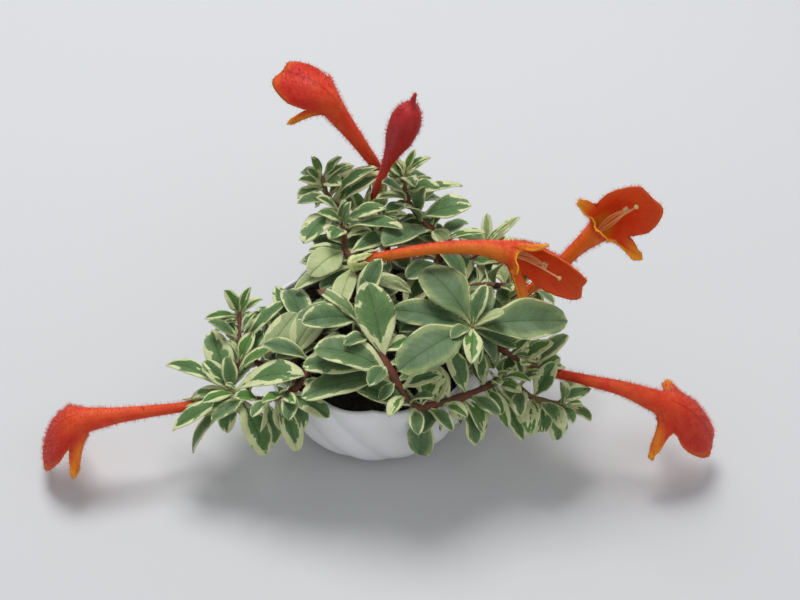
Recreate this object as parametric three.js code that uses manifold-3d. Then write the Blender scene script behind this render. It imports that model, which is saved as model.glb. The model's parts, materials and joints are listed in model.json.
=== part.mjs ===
// A small trailing house plant in a white fluted bowl: hairy cream-edged leaves and long scarlet flowers.
// Millimetres, +Z up. The origin is the middle of the bowl's flat foot, and the front is towards -Y.

import * as THREE from "three";
import { mergeVertices } from "three/addons/utils/BufferGeometryUtils.js";
import Module from "manifold-3d";

const wasm = await Module();
wasm.setup();

// Driving dimensions
const POT_HEIGHT = 50;
const POT_RADIUS = 50;
const POT_WALL = 2;
const POT_FLOOR = 3;
const FLOOR_RADIUS = 31;
const FLUTES = 14;
const FLUTE_DEPTH = 1.7;
const FLUTE_TURN = -0.7;
const PLAIN_RADIUS = 28;
const PLAIN_HEIGHT = 12;
const SOIL_TOP = 44;
const SOIL_MOUND = 1.2;
const GAP = 0.3;
const STEM_RADIUS = 1.6;
const STEM_SIDES = 5;
const ROOT_SINK = 0.8;
const PAIR_STEP = 0.28;
const HOLE_RADIUS = 3.2;
const ROOT_DEPTHS = [33, 39, 45.5];
const LEAF_THICK = 1.1;
const PETIOLE_WIDTH = 1.5;
const LEAF_CLEARANCE = 0.9;
const PETAL_WALL = 0.9;
const PETAL_EDGE = 0.68;
const HOOD_REACH = 34;
const FULL_DROOP = 120;
const SEPAL_COUNT = 5;
const SEPAL_LENGTH = 15;
const SEPAL_WIDTH = 4.6;

// Outlines, as shares of the length and of half the width
const LEAF_OUTLINE = [[0.16, 0.34], [0.4, 0.96], [0.68, 0.98], [0.89, 0.55]];
const SMALL_OUTLINE = [[0.2, 0.4], [0.48, 1], [0.8, 0.72]];
const SMALL_LEAF = 21;
const SEPAL_OUTLINE = [[0.3, 1], [0.45, 0.6], [0.62, 0.9]];

// The bowl's half profile, radius and height, from the foot up the outside
const POT_PROFILE = [
  [30, 0], [33.5, 2], [40, 9], [45, 19], [48, 31], [49.6, 42], [POT_RADIUS, POT_HEIGHT - 1],
];

// A place given as seen from 45 degrees above the front: across, then how far up the picture
// (which is its distance back plus its height), then its height.
function seen([across, up, height]) {
  return new THREE.Vector3(across, up - height, height);
}

// Shoots: root is where the stem stands in the soil, path is its way from there, and each leaf is
// its station on the path, where its tip is seen, and its width.
const SHOOTS = [
  {
    name: "left",
    root: [-16, -6],
    path: [
      [-22.8, 41.3, 59], [-30.9, 18.9, 57], [-37.5, 12.9, 54], [-45.8, 9.2, 50], [-54.9, 10.4, 46],
      [-62.2, 13.1, 44],
    ],
    leaves: [
      [5, -70.8, 49.3, 56, 12], [5, -73, 31, 54, 8], [4.8, -29, 23.8, 62, 15],
      [4.5, -46.1, -25.3, 28, 12], [5, -63.1, -11.8, 34, 8.5], [5, -71.9, 7.6, 51, 6],
      [5, -62, 18.3, 56, 4], [5, -86, -10, 34, 10], [4.6, -74.6, -8.4, 27, 8],
      [5, -79.4, -25.5, 17, 7], [4.8, -91.2, 28.3, 40, 7], [4.4, -79.5, 8.2, 36, 6],
      [2.2, -40.5, 19, 63, 5], [2.2, -36.1, 16.6, 62, 5], [2.2, -46.3, 8.5, 58, 5],
      [2.1, -32.6, 8.3, 60, 5], [2, -18.7, -0.8, 49, 9], [2.5, -32.5, -22.3, 32, 9.5],
      [2.2, -30, -9.4, 38, 8], [3, -44.3, -20.9, 24, 11], [0, -7.7, 22.8, 54, 11],
      [1.4, -41.8, 26.3, 50, 11], [0.6, -21.6, 26.6, 54, 11],
    ],
    twigs: [
      {
        from: 4.9,
        path: [[-58.4, 31.3, 50], [-58.5, 46.3, 54], [-59.2, 59.9, 58], [-59.9, 67.5, 62]],
        leaves: [
          [4, -64.5, 73.5, 70, 7], [4, -53.9, 75.4, 70, 4.5], [3.6, -49.1, 68.7, 64, 5],
          [3.4, -71.1, 53.8, 54, 7], [3.6, -73.9, 56.5, 58, 4], [2.6, -67.3, 53.7, 50, 6],
          [1.4, -38.5, 67.5, 62, 6],
        ],
      },
    ],
  },
  {
    name: "mid_left",
    root: [-22, 2],
    path: [
      [-27.9, 42.1, 57], [-36.4, 29.6, 56], [-47.7, 28.3, 52], [-54.4, 34.9, 49], [-60.4, 41.6, 46],
    ],
    leaves: [
      [2.2, -33.7, 60.2, 64, 12], [1.1, -21.3, 65, 67, 13], [3, -48.8, 49.4, 57, 9],
      [0.3, -44.8, 76.3, 56, 8], [4, -68.2, 39.3, 40, 7], [4, -64.1, 51.6, 46, 7],
      [3.4, -61.4, 29.4, 40, 7], [0.5, -51.6, 63.9, 54, 9], [0, -39.5, 74.2, 57, 12],
      [0.2, -18.5, 68, 60, 12], [-0.3, -38.6, 51.9, 55, 12],
    ],
  },
  {
    name: "front",
    root: [-8, -2],
    path: [
      [-8.8, 60.1, 70], [-2.1, 43.8, 72], [4, 31.4, 68], [10.2, 16.5, 61], [16.4, 5.4, 55],
      [26.7, 7.1, 51.5], [36.1, 10.3, 50], [46, 15.7, 48], [53.4, 20.8, 47], [60.3, 15.9, 44],
      [66.7, 8.6, 40], [74, 6.1, 38], [81, 3.6, 36],
    ],
    leaves: [
      [2, -3.6, 78.7, 88, 17], [2.6, -25.2, 39.9, 76, 17], [2.2, -30, 29.2, 67, 14],
      [2.5, -30.3, 11.4, 60, 15], [4.4, -8.7, 17.7, 62, 12], [5, 18.4, -9.8, 47, 8],
      [4.5, 18.6, -25.6, 26, 12], [6.2, 29.6, 38.2, 68, 10], [5.5, 21.7, 31.1, 64, 8],
      [5, 16.4, 19.6, 60, 7], [7, 40.2, 39.3, 66, 7.5], [8, 54.4, 34.4, 62, 4.5], [8, 64.6, 20, 57, 4],
      [8, 48.1, 24, 58, 6], [8, 56.8, 26.1, 60, 4], [8, 51.7, 18.3, 57, 5], [8, 62.8, -17.1, 28, 7.5],
      [7.3, 56, -9, 36, 6], [6, 43.7, -18.2, 28, 15], [5.8, 35, -2.8, 46, 8], [7, 53.3, -0.6, 42, 7],
      [10, 75.8, 30.5, 56, 9], [11.4, 91.2, 14.8, 44, 7], [11.8, 77.9, 20, 57, 4.5],
      [12, 86.7, 6.3, 44, 3.5], [12, 92, -4.8, 32, 7], [12, 82.8, -4.9, 31, 4],
      [10.6, 71.3, -13, 26, 7], [10.4, 66.1, -15.2, 22, 7], [0.6, -24.1, 73.9, 84, 7],
      [-0.2, -24.2, 50, 57, 12], [-0.4, -14.5, 64, 56, 11], [-0.4, 2.9, 63, 58, 12],
      [3.4, 11.9, 7.9, 53, 11],
    ],
  },
  {
    name: "centre",
    root: [26, -8],
    path: [[29.9, 48.1, 60], [37.3, 50.5, 72], [40.6, 52.4, 78]],
    leaves: [
      [2, 79.1, 55.3, 80, 19], [1.9, 20.2, 86.4, 86, 18], [1.8, 5.6, 61.6, 75, 13],
      [2, 9.4, 27.1, 75, 20], [2, 52.4, 60.4, 88, 9], [1.9, 47, 73.4, 81, 11], [1.7, 39.7, 73.5, 76, 9],
      [1.6, 36.1, 36.6, 62, 9], [1.6, 49.6, 31, 62, 8], [1.5, 58.4, 39.6, 70, 6],
      [0, 37.5, 24.8, 55, 12], [-0.3, 9, 54, 60, 13], [-0.4, 9, 31, 53, 12],
      [-0.2, 19.8, 20.9, 54, 12],
    ],
  },
  {
    name: "right",
    root: [34, 2],
    path: [[42.1, 52, 59], [54.7, 36.3, 56], [64.5, 30.2, 52], [71.9, 24.8, 48]],
    leaves: [
      [1, 70, 31, 50, 8], [2, 61.1, 29.7, 58, 5], [2.6, 78.6, 32.6, 52, 6], [3, 81.2, 27.4, 40, 6],
      [1.4, 62, 22.1, 46, 7], [0.8, 60.4, 49.9, 56, 9], [2.2, 69, 43.6, 48, 8], [0, 50, 26.1, 48, 11],
      [0.4, 33.8, 20.5, 49, 9], [-0.2, 46.7, 61.9, 56, 11], [-0.4, 26.3, 59.9, 55, 10],
    ],
  },
  {
    name: "right_back",
    root: [28, 18],
    path: [[40.7, 75.2, 61], [55.8, 76.2, 64], [62.3, 73.6, 62], [71.3, 74.9, 60]],
    leaves: [
      [1.2, 53.1, 66, 64, 7], [2, 62.7, 89.2, 66, 9], [3, 69.9, 62.9, 54, 6], [1, 52.5, 91, 68, 8],
      [2.8, 84.9, 70.1, 50, 7], [3, 83.7, 87, 52, 8], [0.6, 42, 62, 66, 8], [2, 72.4, 57.7, 44, 8],
      [0.2, 51.8, 86.8, 56, 11], [-0.3, 43.4, 88.9, 57, 12], [-0.2, 37.3, 97.5, 58, 10],
    ],
    twigs: [
      {
        from: -0.4,
        path: [[39.1, 88.8, 60], [49.6, 99.3, 63], [57.1, 107.8, 65]],
        leaves: [
          [3, 48.9, 122.2, 74, 5], [3, 63.4, 120.2, 74, 5], [3, 66.2, 104.9, 69, 4],
          [3, 58.6, 115.6, 80, 4], [2.4, 35.8, 106.7, 72, 8], [2, 65, 99.8, 56, 8],
          [3, 65.9, 104.6, 50, 8], [3, 48.7, 113.2, 54, 8],
        ],
      },
    ],
  },
  {
    name: "back",
    root: [14, 22],
    path: [
      [27, 90.8, 62], [27, 106.3, 68], [20.8, 116.5, 72], [14.7, 127.3, 76], [12, 138.2, 80],
      [12.4, 148.4, 84],
    ],
    leaves: [
      [5, 16.9, 162.4, 94, 4], [5, 23.5, 157.3, 92, 6], [5, 8.4, 155.2, 92, 6],
      [4.6, 4.7, 148.1, 86, 8], [4.5, 6.2, 136.6, 81, 7], [4.6, 16.7, 137.9, 90, 7],
      [3.8, 27.9, 137.6, 84, 8], [3.4, 38.4, 140.4, 78, 6], [2.3, 41.5, 126.6, 81, 14],
      [1.6, 32.2, 101.6, 70, 9], [0.8, 47.3, 109, 82, 6], [3.5, -0.3, 130.9, 84, 6],
      [3, 3.8, 122.2, 80, 7], [1.5, 3.3, 100.3, 81, 15], [4, 22.9, 145.8, 68, 9],
      [3, 31.5, 130.5, 62, 9], [4.4, 7.8, 148.4, 66, 8], [-0.4, 5.9, 74.2, 56, 12],
      [-0.2, 22.3, 76.3, 58, 12], [0.2, 30.7, 84.6, 60, 11], [0, 13, 64, 59, 12],
      [0.1, 20.4, 96.3, 60, 12],
    ],
  },
  {
    name: "back_middle",
    root: [-2, 24],
    path: [[-3, 96, 64], [-2, 108, 64], [-5, 116, 62], [-8, 120, 58]],
    leaves: [
      [3, -17, 138, 72, 7], [3, 10, 124, 58, 9], [1.6, -18, 114, 57, 9], [-0.2, 5.8, 90.8, 58, 9],
      [-0.1, -10.2, 98.2, 58, 10], [1, 10, 108, 66, 8],
    ],
  },
  {
    name: "back_left",
    root: [-10, 14],
    path: [
      [-9.9, 88.6, 66], [-13.9, 98.5, 70], [-14.6, 114.4, 72], [-17.5, 125.5, 74], [-22.5, 134, 76],
      [-24.8, 146.7, 82],
    ],
    leaves: [
      [5, -28.8, 157.7, 92, 5], [5, -16, 157.7, 92, 5], [5, -14.8, 152.9, 87, 4],
      [5, -31.5, 151.2, 84, 4.5], [4.4, -35.6, 132.3, 78, 8], [4.6, -16, 139.4, 85, 8],
      [4, -28, 127.1, 71, 8], [3.6, 0, 151, 89, 8.5], [3.2, 3.5, 148.1, 86, 9],
      [2.2, -13.9, 129.4, 85, 6], [2.2, 3.8, 124.2, 85, 8], [1.9, 11.5, 111.4, 83, 9],
      [2.1, -25.9, 122.2, 80, 7], [1.8, -20.3, 105.4, 82, 8], [3, -32.2, 102.8, 72, 12],
      [0.7, 6.7, 107.8, 73, 9], [1, -28.9, 82.2, 71, 14], [0.4, -25.9, 84.9, 61, 7],
      [0, -35.7, 73.6, 64, 8], [0, -15.6, 59.8, 77, 10], [0, 14.8, 72.2, 80, 8], [-0.2, 8, 64, 62, 9],
      [-0.3, -34.1, 93.2, 57, 12],
    ],
  },
  {
    name: "back_trailing",
    root: [6, 34],
    path: [[3.6, 108.2, 60], [-0.8, 115.4, 54], [-7.6, 116.3, 45], [-12.3, 112.5, 36]],
    leaves: [
      [0.6, 20.6, 114.7, 62, 10], [1.2, -17, 116, 48, 9], [1.6, 14.3, 113.9, 46, 10],
      [2, -25.3, 118.7, 44, 10], [2.6, 5.5, 108.2, 32, 9], [3, -28.1, 108.3, 30, 9],
      [3, -10.5, 99.8, 18, 9], [-0.2, 22.7, 99.8, 55, 10],
    ],
  },
];

// The free edge of a flower, one side of it: degrees round from the back of the hood, then how far
// forward, towards the back and to the side of the mouth's middle. The two sides of a lobe are given
// from the lobe's own end.
const HOOD_KEYS = [
  [0, 34.5, -5, 0], [12, 35.5, -6, 5.5], [26, 31, -7, 9.5], [48, 20, -6, 12], [68, 10, -1.5, 10],
];
const LOBE_SIDES = [[88, 1.4, 1.6, 0.4], [104, -1.6, -2, -0.4]];
const NOTCH_KEYS = [[120, 4.5, -5.5, 6.5], [150, 3, -8, 3.5]];
const TUBE_RADII = [[0, 1.7], [0.1, 1.9], [0.3, 2.1], [0.55, 2.6], [0.78, 3.4], [0.92, 4.4], [1, 5]];
const TUBE_ROWS = [0, 0.3, 0.6, 0.85, 1];
const INNER_ROWS = [0.85, 0.66];
const LIP_ROWS = [0.35, 0.7, 1];
const BUD_RADII = [
  [0, 1.5], [0.15, 1.5], [0.35, 2], [0.5, 3.6], [0.63, 6], [0.76, 6.6], [0.86, 4.8], [0.91, 1.5], [1, 0.6],
];

// Flowers: stem is where the stalk leaves its shoot, path runs from the calyx to the mouth, and back
// is the way that the back of the hood faces. The hood and its spread are shares of the usual size, and
// the side lobe and the lip end that far forward, towards the back and to the side of the mouth.
const FLOWERS = [
  {
    name: "left",
    stem: [-62.6, 12.7, 44],
    path: [[-69, 5, 30], [-84, 2.4, 33], [-103, -0.6, 35], [-121, -4, 34.5]],
    back: [-0.3, -0.2, 1],
    bend: 36,
    hood: 0.95,
    spread: 1,
    lobe: [13, -11, 18],
    lip: [6, -14],
  },
  {
    name: "top",
    stem: [-8, 120, 58],
    path: [[1, 133, 64], [1, 148, 79], [-6.5, 163.5, 95], [-19, 186, 113]],
    back: [0.6, -0.5, 0.65],
    bend: 26,
    hood: 0.8,
    spread: 1,
    lobe: [8, -9, 16],
    lip: [5, -12],
  },
  {
    name: "centre",
    stem: [-9.8, 88.5, 67],
    path: [[-8.5, 90, 77], [6, 94, 91], [27, 98, 97], [44.3, 98, 98], [54, 95.5, 96]],
    back: [0.2, 0.95, -0.1],
    bend: 14,
    hood: 1,
    spread: 0.8,
    lobe: [13, -11, 17],
    lip: [5, -12],
  },
  {
    name: "upper_right",
    stem: [55, 76, 64],
    path: [[57, 66, 60], [66.4, 74.7, 72], [75, 85, 83], [84.7, 98.8, 95], [91.8, 107.5, 103]],
    back: [0.2, 0.92, -0.2],
    bend: 9,
    hood: 0.92,
    spread: 1,
    lobe: [8, -8, 17.5],
    lip: [4, -9],
  },
  {
    name: "right",
    stem: [64.7, 30, 52],
    path: [[62, 24, 36], [77.4, 22.7, 42], [92, 18.6, 46.5], [105, 14.3, 46.2], [119.5, 6.5, 41]],
    back: [0.3, -0.3, 0.85],
    bend: 16,
    hood: 1.04,
    spread: 1,
    lobe: [7, -12, 19],
    lip: [12, -15],
  },
];
const BUD = {
  name: "bud",
  stem: [-5, 116, 62],
  path: [[-4, 126, 68], [3, 147, 94], [11, 170, 114], [17, 192, 134]],
  back: [0, -0.7, 0.7],
};

// Turns any closed geometry into a solid: corners are shared and triangles of no area left out
function solid(geometry) {
  const bare = new THREE.BufferGeometry();
  bare.setAttribute("position", geometry.getAttribute("position"));
  bare.setIndex(geometry.getIndex());
  const merged = mergeVertices(bare, 1e-4);
  const corners = merged.getIndex().array;
  const kept = [];
  for (let i = 0; i < corners.length; i += 3) {
    const [a, b, c] = [corners[i], corners[i + 1], corners[i + 2]];
    if (a !== b && b !== c && c !== a) {
      kept.push(a, b, c);
    }
  }
  return new wasm.Manifold(new wasm.Mesh({
    numProp: 3,
    vertProperties: new Float32Array(merged.getAttribute("position").array),
    triVerts: new Uint32Array(kept),
  }));
}

// A closed geometry from points and faces, where a face of four corners is cut along its first one
function geometryFrom(points, faces) {
  const geometry = new THREE.BufferGeometry();
  const numbers = points.flatMap((point) => point.toArray());
  geometry.setAttribute("position", new THREE.Float32BufferAttribute(numbers, 3));
  const corners = [];
  for (const face of faces) {
    for (let i = 1; i < face.length - 1; i += 1) {
      corners.push(face[0], face[i], face[i + 1]);
    }
  }
  geometry.setIndex(corners);
  return geometry;
}

function join(solids) {
  return wasm.Manifold.union(solids);
}

// The largest body of a solid, without the loose scraps that a cut leaves
function largest(body) {
  const pieces = body.decompose();
  pieces.sort((a, b) => b.volume() - a.volume());
  return pieces[0];
}

// A named mesh of a solid
function meshOf(name, body, material) {
  const mesh = body.getMesh();
  const geometry = new THREE.BufferGeometry();
  geometry.setAttribute("position", new THREE.Float32BufferAttribute(mesh.vertProperties, 3));
  geometry.setIndex(Array.from(mesh.triVerts));
  geometry.computeVertexNormals();
  const result = new THREE.Mesh(geometry, material);
  result.name = name;
  return result;
}

// Seeded numbers from -1 to 1, so that every build grows the same plant
function dice(seed) {
  let state = seed;
  return () => {
    state = (state * 16807) % 2147483647;
    return (2 * state) / 2147483647 - 1;
  };
}

function curveThrough(points) {
  return new THREE.CatmullRomCurve3(points, false, "catmullrom", 0.5);
}

function valueAt(table, t) {
  for (let i = 1; i < table.length; i += 1) {
    const [t0, v0] = table[i - 1];
    const [t1, v1] = table[i];
    if (t <= t1) {
      return v0 + ((v1 - v0) * (t - t0)) / (t1 - t0);
    }
  }
  return table[table.length - 1][1];
}

// A round rod along a curve
function rod(curve, radius, sides, steps) {
  const outline = new THREE.Shape();
  for (let i = 0; i < sides; i += 1) {
    const angle = (2 * Math.PI * i) / sides;
    outline[i === 0 ? "moveTo" : "lineTo"](radius * Math.cos(angle), radius * Math.sin(angle));
  }
  return solid(new THREE.ExtrudeGeometry(outline, { steps, extrudePath: curve, bevelEnabled: false }));
}

// A thin blade: it arches from its root to its tip, its edges are raised by the keel and waved, and a
// midrib stands out below and, on a broad blade, above. Both faces are split alike.
function blade({ from, tip, width, rootWidth, outline, arch, roll, keel, wave, phase, thick, broad, grow }) {
  const chord = tip.clone().sub(from);
  const length = chord.length();
  const along = chord.clone().normalize();
  const face = new THREE.Vector3(0, 0, 1);
  face.addScaledVector(along, -face.dot(along)).normalize();
  face.applyAxisAngle(along, roll);
  const side = new THREE.Vector3().crossVectors(along, face);
  const lift = 4 * arch * length;
  const rows = [[0, rootWidth / width], ...outline];
  const rings = rows.map(([t, share], row) => {
    const middle = from.clone().addScaledVector(chord, t).addScaledVector(face, lift * t * (1 - t));
    const slope = along.clone().multiplyScalar(length).addScaledVector(face, lift * (1 - 2 * t)).normalize();
    const up = new THREE.Vector3().crossVectors(side, slope);
    const half = (share * width) / 2 + grow;
    const ripple = row > 1 ? wave * width * Math.sin(phase + 2.4 * row) : 0;
    const deep = thick / 2 + grow;
    const at = (across, high) => middle.clone().addScaledVector(side, across).addScaledVector(up, high);
    const ridge = broad ? [at(0, deep)] : [];
    return [at(-half, keel * half + ripple), ...ridge, at(half, keel * half - ripple), at(0, -deep)];
  });
  const points = [...rings.flat(), tip.clone().addScaledVector(along, grow)];
  const count = rings[0].length;
  const end = points.length - 1;
  const faces = [[...rings[0].keys()].reverse()];
  for (let row = 0; row < rows.length - 1; row += 1) {
    const a = count * row;
    const b = a + count;
    const [right, low] = [count - 2, count - 1];
    faces.push([a, a + 1, b + 1, b], [a, b, b + low, a + low], [a + right, a + low, b + low, b + right]);
    if (broad) {
      faces.push([a + right, b + right, b + 1, a + 1]);
    }
  }
  const last = count * (rows.length - 1);
  for (let i = 0; i < count; i += 1) {
    faces.push([last + i, last + ((i + 1) % count), end]);
  }
  return solid(geometryFrom(points, faces));
}

// One leaf of a shoot, at its true size or grown all round to keep its neighbours clear
function leaf(from, tip, width, random, grow) {
  const length = tip.distanceTo(from);
  return blade({
    from,
    tip,
    width,
    rootWidth: PETIOLE_WIDTH,
    outline: length < SMALL_LEAF ? SMALL_OUTLINE : LEAF_OUTLINE,
    arch: 0.11 + 0.05 * random(),
    roll: 0.25 * random(),
    keel: 0.14 + 0.1 * random(),
    wave: 0.03,
    phase: 3 * random(),
    thick: LEAF_THICK,
    broad: length >= SMALL_LEAF,
    grow,
  });
}

// The path of a shoot or twig as a curve, with the share of it where a station lies
function shootCurve(shoot, parent) {
  const start = [];
  if (parent) {
    start.push(parent.at(shoot.from));
  } else {
    start.push(...ROOT_DEPTHS.map((z) => new THREE.Vector3(shoot.root[0], shoot.root[1], z)));
  }
  const points = [...start, ...shoot.path.map(seen)];
  const curve = curveThrough(points);
  const first = parent ? 0 : start.length;
  const spans = points.length - 1;
  const at = (station) => curve.getPoint((station + first) / spans);
  return { curve, steps: Math.ceil(1.2 * spans), at };
}

// Everything that grows on one shoot: its rods, its leaves and the space that both take up
function grow(shoot, seed, parent) {
  const line = shootCurve(shoot, parent);
  const random = dice(seed);
  const parts = {
    rods: [rod(line.curve, STEM_RADIUS, STEM_SIDES, line.steps)],
    rodSpace: [rod(line.curve, STEM_RADIUS + 0.5, STEM_SIDES, line.steps)],
    leaves: [],
    leafSpace: [],
  };
  const used = new Map();
  for (const [station, across, up, height, width] of shoot.leaves) {
    const rank = used.get(station) || 0;
    used.set(station, rank + 1);
    const tip = seen([across, up, height]);
    const axis = line.at(Math.min(station, shoot.path.length - 1.12) - PAIR_STEP * Math.floor(rank / 2));
    const from = axis.clone().addScaledVector(tip.clone().sub(axis).normalize(), ROOT_SINK);
    const draws = [random(), random(), random(), random()];
    for (const [list, extra] of [[parts.leaves, 0], [parts.leafSpace, LEAF_CLEARANCE]]) {
      let next = 0;
      list.push(leaf(from, tip, width, () => draws[next++], extra));
    }
  }
  (shoot.twigs || []).forEach((twig, i) => {
    const more = grow(twig, seed + 31 * (i + 1), line);
    for (const key of Object.keys(parts)) {
      parts[key].push(...more[key]);
    }
  });
  return parts;
}

// Cuts a swirl of sharp-ridged flutes into a round body, none at its foot and full further up
function flute(geometry) {
  const place = geometry.getAttribute("position");
  for (let i = 0; i < place.count; i += 1) {
    const [x, y, z] = [place.getX(i), place.getY(i), place.getZ(i)];
    const radius = Math.hypot(x, y);
    const angle = Math.atan2(y, x);
    const strength = radius < PLAIN_RADIUS ? 0 : Math.min(1, z / PLAIN_HEIGHT);
    const depth = FLUTE_DEPTH * strength * (1 - Math.abs(Math.sin((FLUTES * angle) / 2)));
    const turned = angle + FLUTE_TURN * (z / POT_HEIGHT);
    place.setXYZ(i, (radius - depth) * Math.cos(turned), (radius - depth) * Math.sin(turned), z);
  }
  return geometry;
}

function lathe(profile, sides) {
  const points = profile.map(([radius, height]) => new THREE.Vector2(radius, height));
  const geometry = new THREE.LatheGeometry(points, sides);
  geometry.rotateX(Math.PI / 2);
  return geometry;
}

// Every second point of the bowl's profile above its floor, drawn in by the inset
function innerProfile(inset) {
  const kept = POT_PROFILE.filter(([, height], i) => height > POT_FLOOR && i % 2 === 1);
  return kept.map(([radius, height]) => [radius - inset, height]);
}

function pot() {
  const rim = [[POT_RADIUS, POT_HEIGHT], [POT_RADIUS - POT_WALL, POT_HEIGHT]];
  const floor = [[FLOOR_RADIUS, POT_FLOOR], [0, POT_FLOOR]];
  const profile = [[0, 0], ...POT_PROFILE, ...rim, ...innerProfile(POT_WALL).reverse(), ...floor];
  return solid(flute(lathe(profile, 3 * FLUTES)));
}

function soil(holes) {
  const side = innerProfile(POT_WALL + FLUTE_DEPTH + GAP);
  const base = [[0, POT_FLOOR + GAP], [FLOOR_RADIUS - 1, POT_FLOOR + GAP]];
  const top = [[side[side.length - 1][0], SOIL_TOP], [0, SOIL_TOP + SOIL_MOUND]];
  const body = solid(lathe([...base, ...side, ...top], 2 * FLUTES));
  const depth = ROOT_DEPTHS[0] - 1;
  const height = POT_HEIGHT - depth;
  const cutters = holes.map(([x, y]) => {
    const hole = new THREE.CylinderGeometry(HOLE_RADIUS, HOLE_RADIUS, height, 6);
    hole.rotateX(Math.PI / 2);
    hole.translate(x, y, depth + height / 2);
    return solid(hole);
  });
  return body.subtract(join(cutters));
}

// Directions at a place on a flower's axis: forward, towards the back of the hood, and to the side
function flowerFrame(curve, t, back) {
  const forward = curve.getTangent(t);
  const dorsal = back.clone().addScaledVector(forward, -back.dot(forward)).normalize();
  const side = new THREE.Vector3().crossVectors(forward, dorsal);
  return { middle: curve.getPoint(t), forward, dorsal, side };
}

function ringPoint({ middle, dorsal, side }, radius, angle) {
  return middle.clone()
    .addScaledVector(dorsal, radius * Math.cos(angle))
    .addScaledVector(side, radius * Math.sin(angle));
}

// A place beyond a flower's mouth. What lies ahead droops away from the back of the hood, and the more
// so the farther it is: bend is in degrees at the hood's reach.
function beyond(mouth, bend, ahead, up, out) {
  const droop = (THREE.MathUtils.degToRad(bend) * Math.max(0, ahead)) / HOOD_REACH;
  return mouth.middle.clone()
    .addScaledVector(mouth.forward, ahead * Math.cos(droop) + up * Math.sin(droop))
    .addScaledVector(mouth.dorsal, up * Math.cos(droop) - ahead * Math.sin(droop))
    .addScaledVector(mouth.side, out);
}

// Stacked rings of points closed at both ends, first ring at the back, as one body
function stack(rings) {
  const count = rings[0].length;
  const points = rings.flat();
  const faces = [];
  for (let row = 0; row < rings.length - 1; row += 1) {
    for (let i = 0; i < count; i += 1) {
      const j = (i + 1) % count;
      const a = row * count;
      const b = a + count;
      faces.push([a + i, a + j, b + j, b + i]);
    }
  }
  const start = points.length;
  const [first, last] = [rings[0], rings[rings.length - 1]];
  const centreOf = (ring) => ring.reduce((sum, p) => sum.add(p), new THREE.Vector3()).divideScalar(count);
  points.push(centreOf(first), centreOf(last));
  for (let i = 0; i < count; i += 1) {
    const j = (i + 1) % count;
    const tail = (rings.length - 1) * count;
    faces.push([start, j, i], [start + 1, tail + i, tail + j]);
  }
  return solid(geometryFrom(points, faces));
}

// The flower's free edge all the way round, both sides alike
function wholeEdge({ hood, spread, lobe, lip }) {
  const half = [
    ...HOOD_KEYS.map(([angle, ahead, up, out]) => [angle, hood * ahead, hood * up, spread * out]),
    ...LOBE_SIDES.map(([angle, ahead, up, out]) => [angle, lobe[0] + ahead, lobe[1] + up, lobe[2] + out]),
    ...NOTCH_KEYS,
    [168, lip[0], lip[1] + 0.6, 1.6],
    [180, lip[0], lip[1], 0],
  ];
  const far = half.slice(1, -1).reverse();
  return [...half, ...far.map(([angle, ahead, up, out]) => [360 - angle, ahead, up, -out])];
}

// A flower's skin: rings up the tube, then on from the mouth to the free edge of hood, lobes and lip
function corollaRings(flower, inset) {
  const curve = curveThrough(flower.path.map(seen));
  const back = new THREE.Vector3(...flower.back).normalize();
  const edge = wholeEdge(flower);
  const angles = edge.map(([degrees]) => THREE.MathUtils.degToRad(degrees));
  const tube = (t) => {
    const frame = flowerFrame(curve, t, back);
    return angles.map((angle) => ringPoint(frame, valueAt(TUBE_RADII, t) - inset, angle));
  };
  const mouth = flowerFrame(curve, 1, back);
  const lip = (t) => edge.map(([, ahead, up, out], i) => {
    const start = ringPoint(mouth, 5 - inset, angles[i]);
    const hooded = Math.max(0, Math.cos(angles[i]));
    const outward = ringPoint(mouth, 1, angles[i]).sub(mouth.middle);
    const turn = start.clone()
      .addScaledVector(mouth.forward, 3.5 + 12 * hooded)
      .addScaledVector(outward, 1 + 2.5 * hooded);
    const end = beyond(mouth, flower.bend, ahead, up, out);
    return new THREE.QuadraticBezierCurve3(start, turn, end).getPoint(t);
  });
  return { tube, lip };
}

function corolla(flower) {
  const outside = corollaRings(flower, 0);
  const skin = [outside.tube(1), ...LIP_ROWS.map(outside.lip)];
  const count = skin[0].length;
  // The inside of the hood and lobes lies one wall below the skin, square to it and closer at its edge
  const lining = skin.map((ring, row) => ring.map((point, i) => {
    const before = ring[(i + count - 1) % count];
    const after = ring[(i + 1) % count];
    const near = skin[Math.max(0, row - 1)][i];
    const far = skin[Math.min(skin.length - 1, row + 1)][i];
    const round = after.clone().sub(before);
    const ahead = far.clone().sub(near);
    const normal = round.cross(ahead).normalize();
    return point.clone().addScaledVector(normal, row === skin.length - 1 ? -PETAL_EDGE : -PETAL_WALL);
  }));
  const inside = corollaRings(flower, PETAL_WALL);
  return stack([
    ...TUBE_ROWS.slice(0, -1).map(outside.tube),
    ...skin,
    ...lining.reverse(),
    ...INNER_ROWS.map(inside.tube),
  ]);
}

function budCorolla(flower, extra) {
  const curve = curveThrough(flower.path.map(seen));
  const back = new THREE.Vector3(...flower.back).normalize();
  const rings = BUD_RADII.map(([t, radius]) => {
    const frame = flowerFrame(curve, t, back);
    return Array.from({ length: 10 }, (_, i) => ringPoint(frame, radius + extra, (2 * Math.PI * i) / 10));
  });
  return stack(rings);
}

// The plain tube that a calyx stays clear of
function tubeSpace(flower, radii, extra) {
  const curve = curveThrough(flower.path.map(seen));
  const back = new THREE.Vector3(...flower.back).normalize();
  const rings = [0, 0.15, 0.3, 0.45].map((t) => {
    const frame = flowerFrame(curve, t, back);
    return Array.from({ length: 12 }, (_, i) => {
      return ringPoint(frame, valueAt(radii, t) + extra, (2 * Math.PI * i) / 12);
    });
  });
  rings[0].forEach((point) => point.addScaledVector(curve.getTangent(0), -extra));
  return stack(rings);
}

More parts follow.
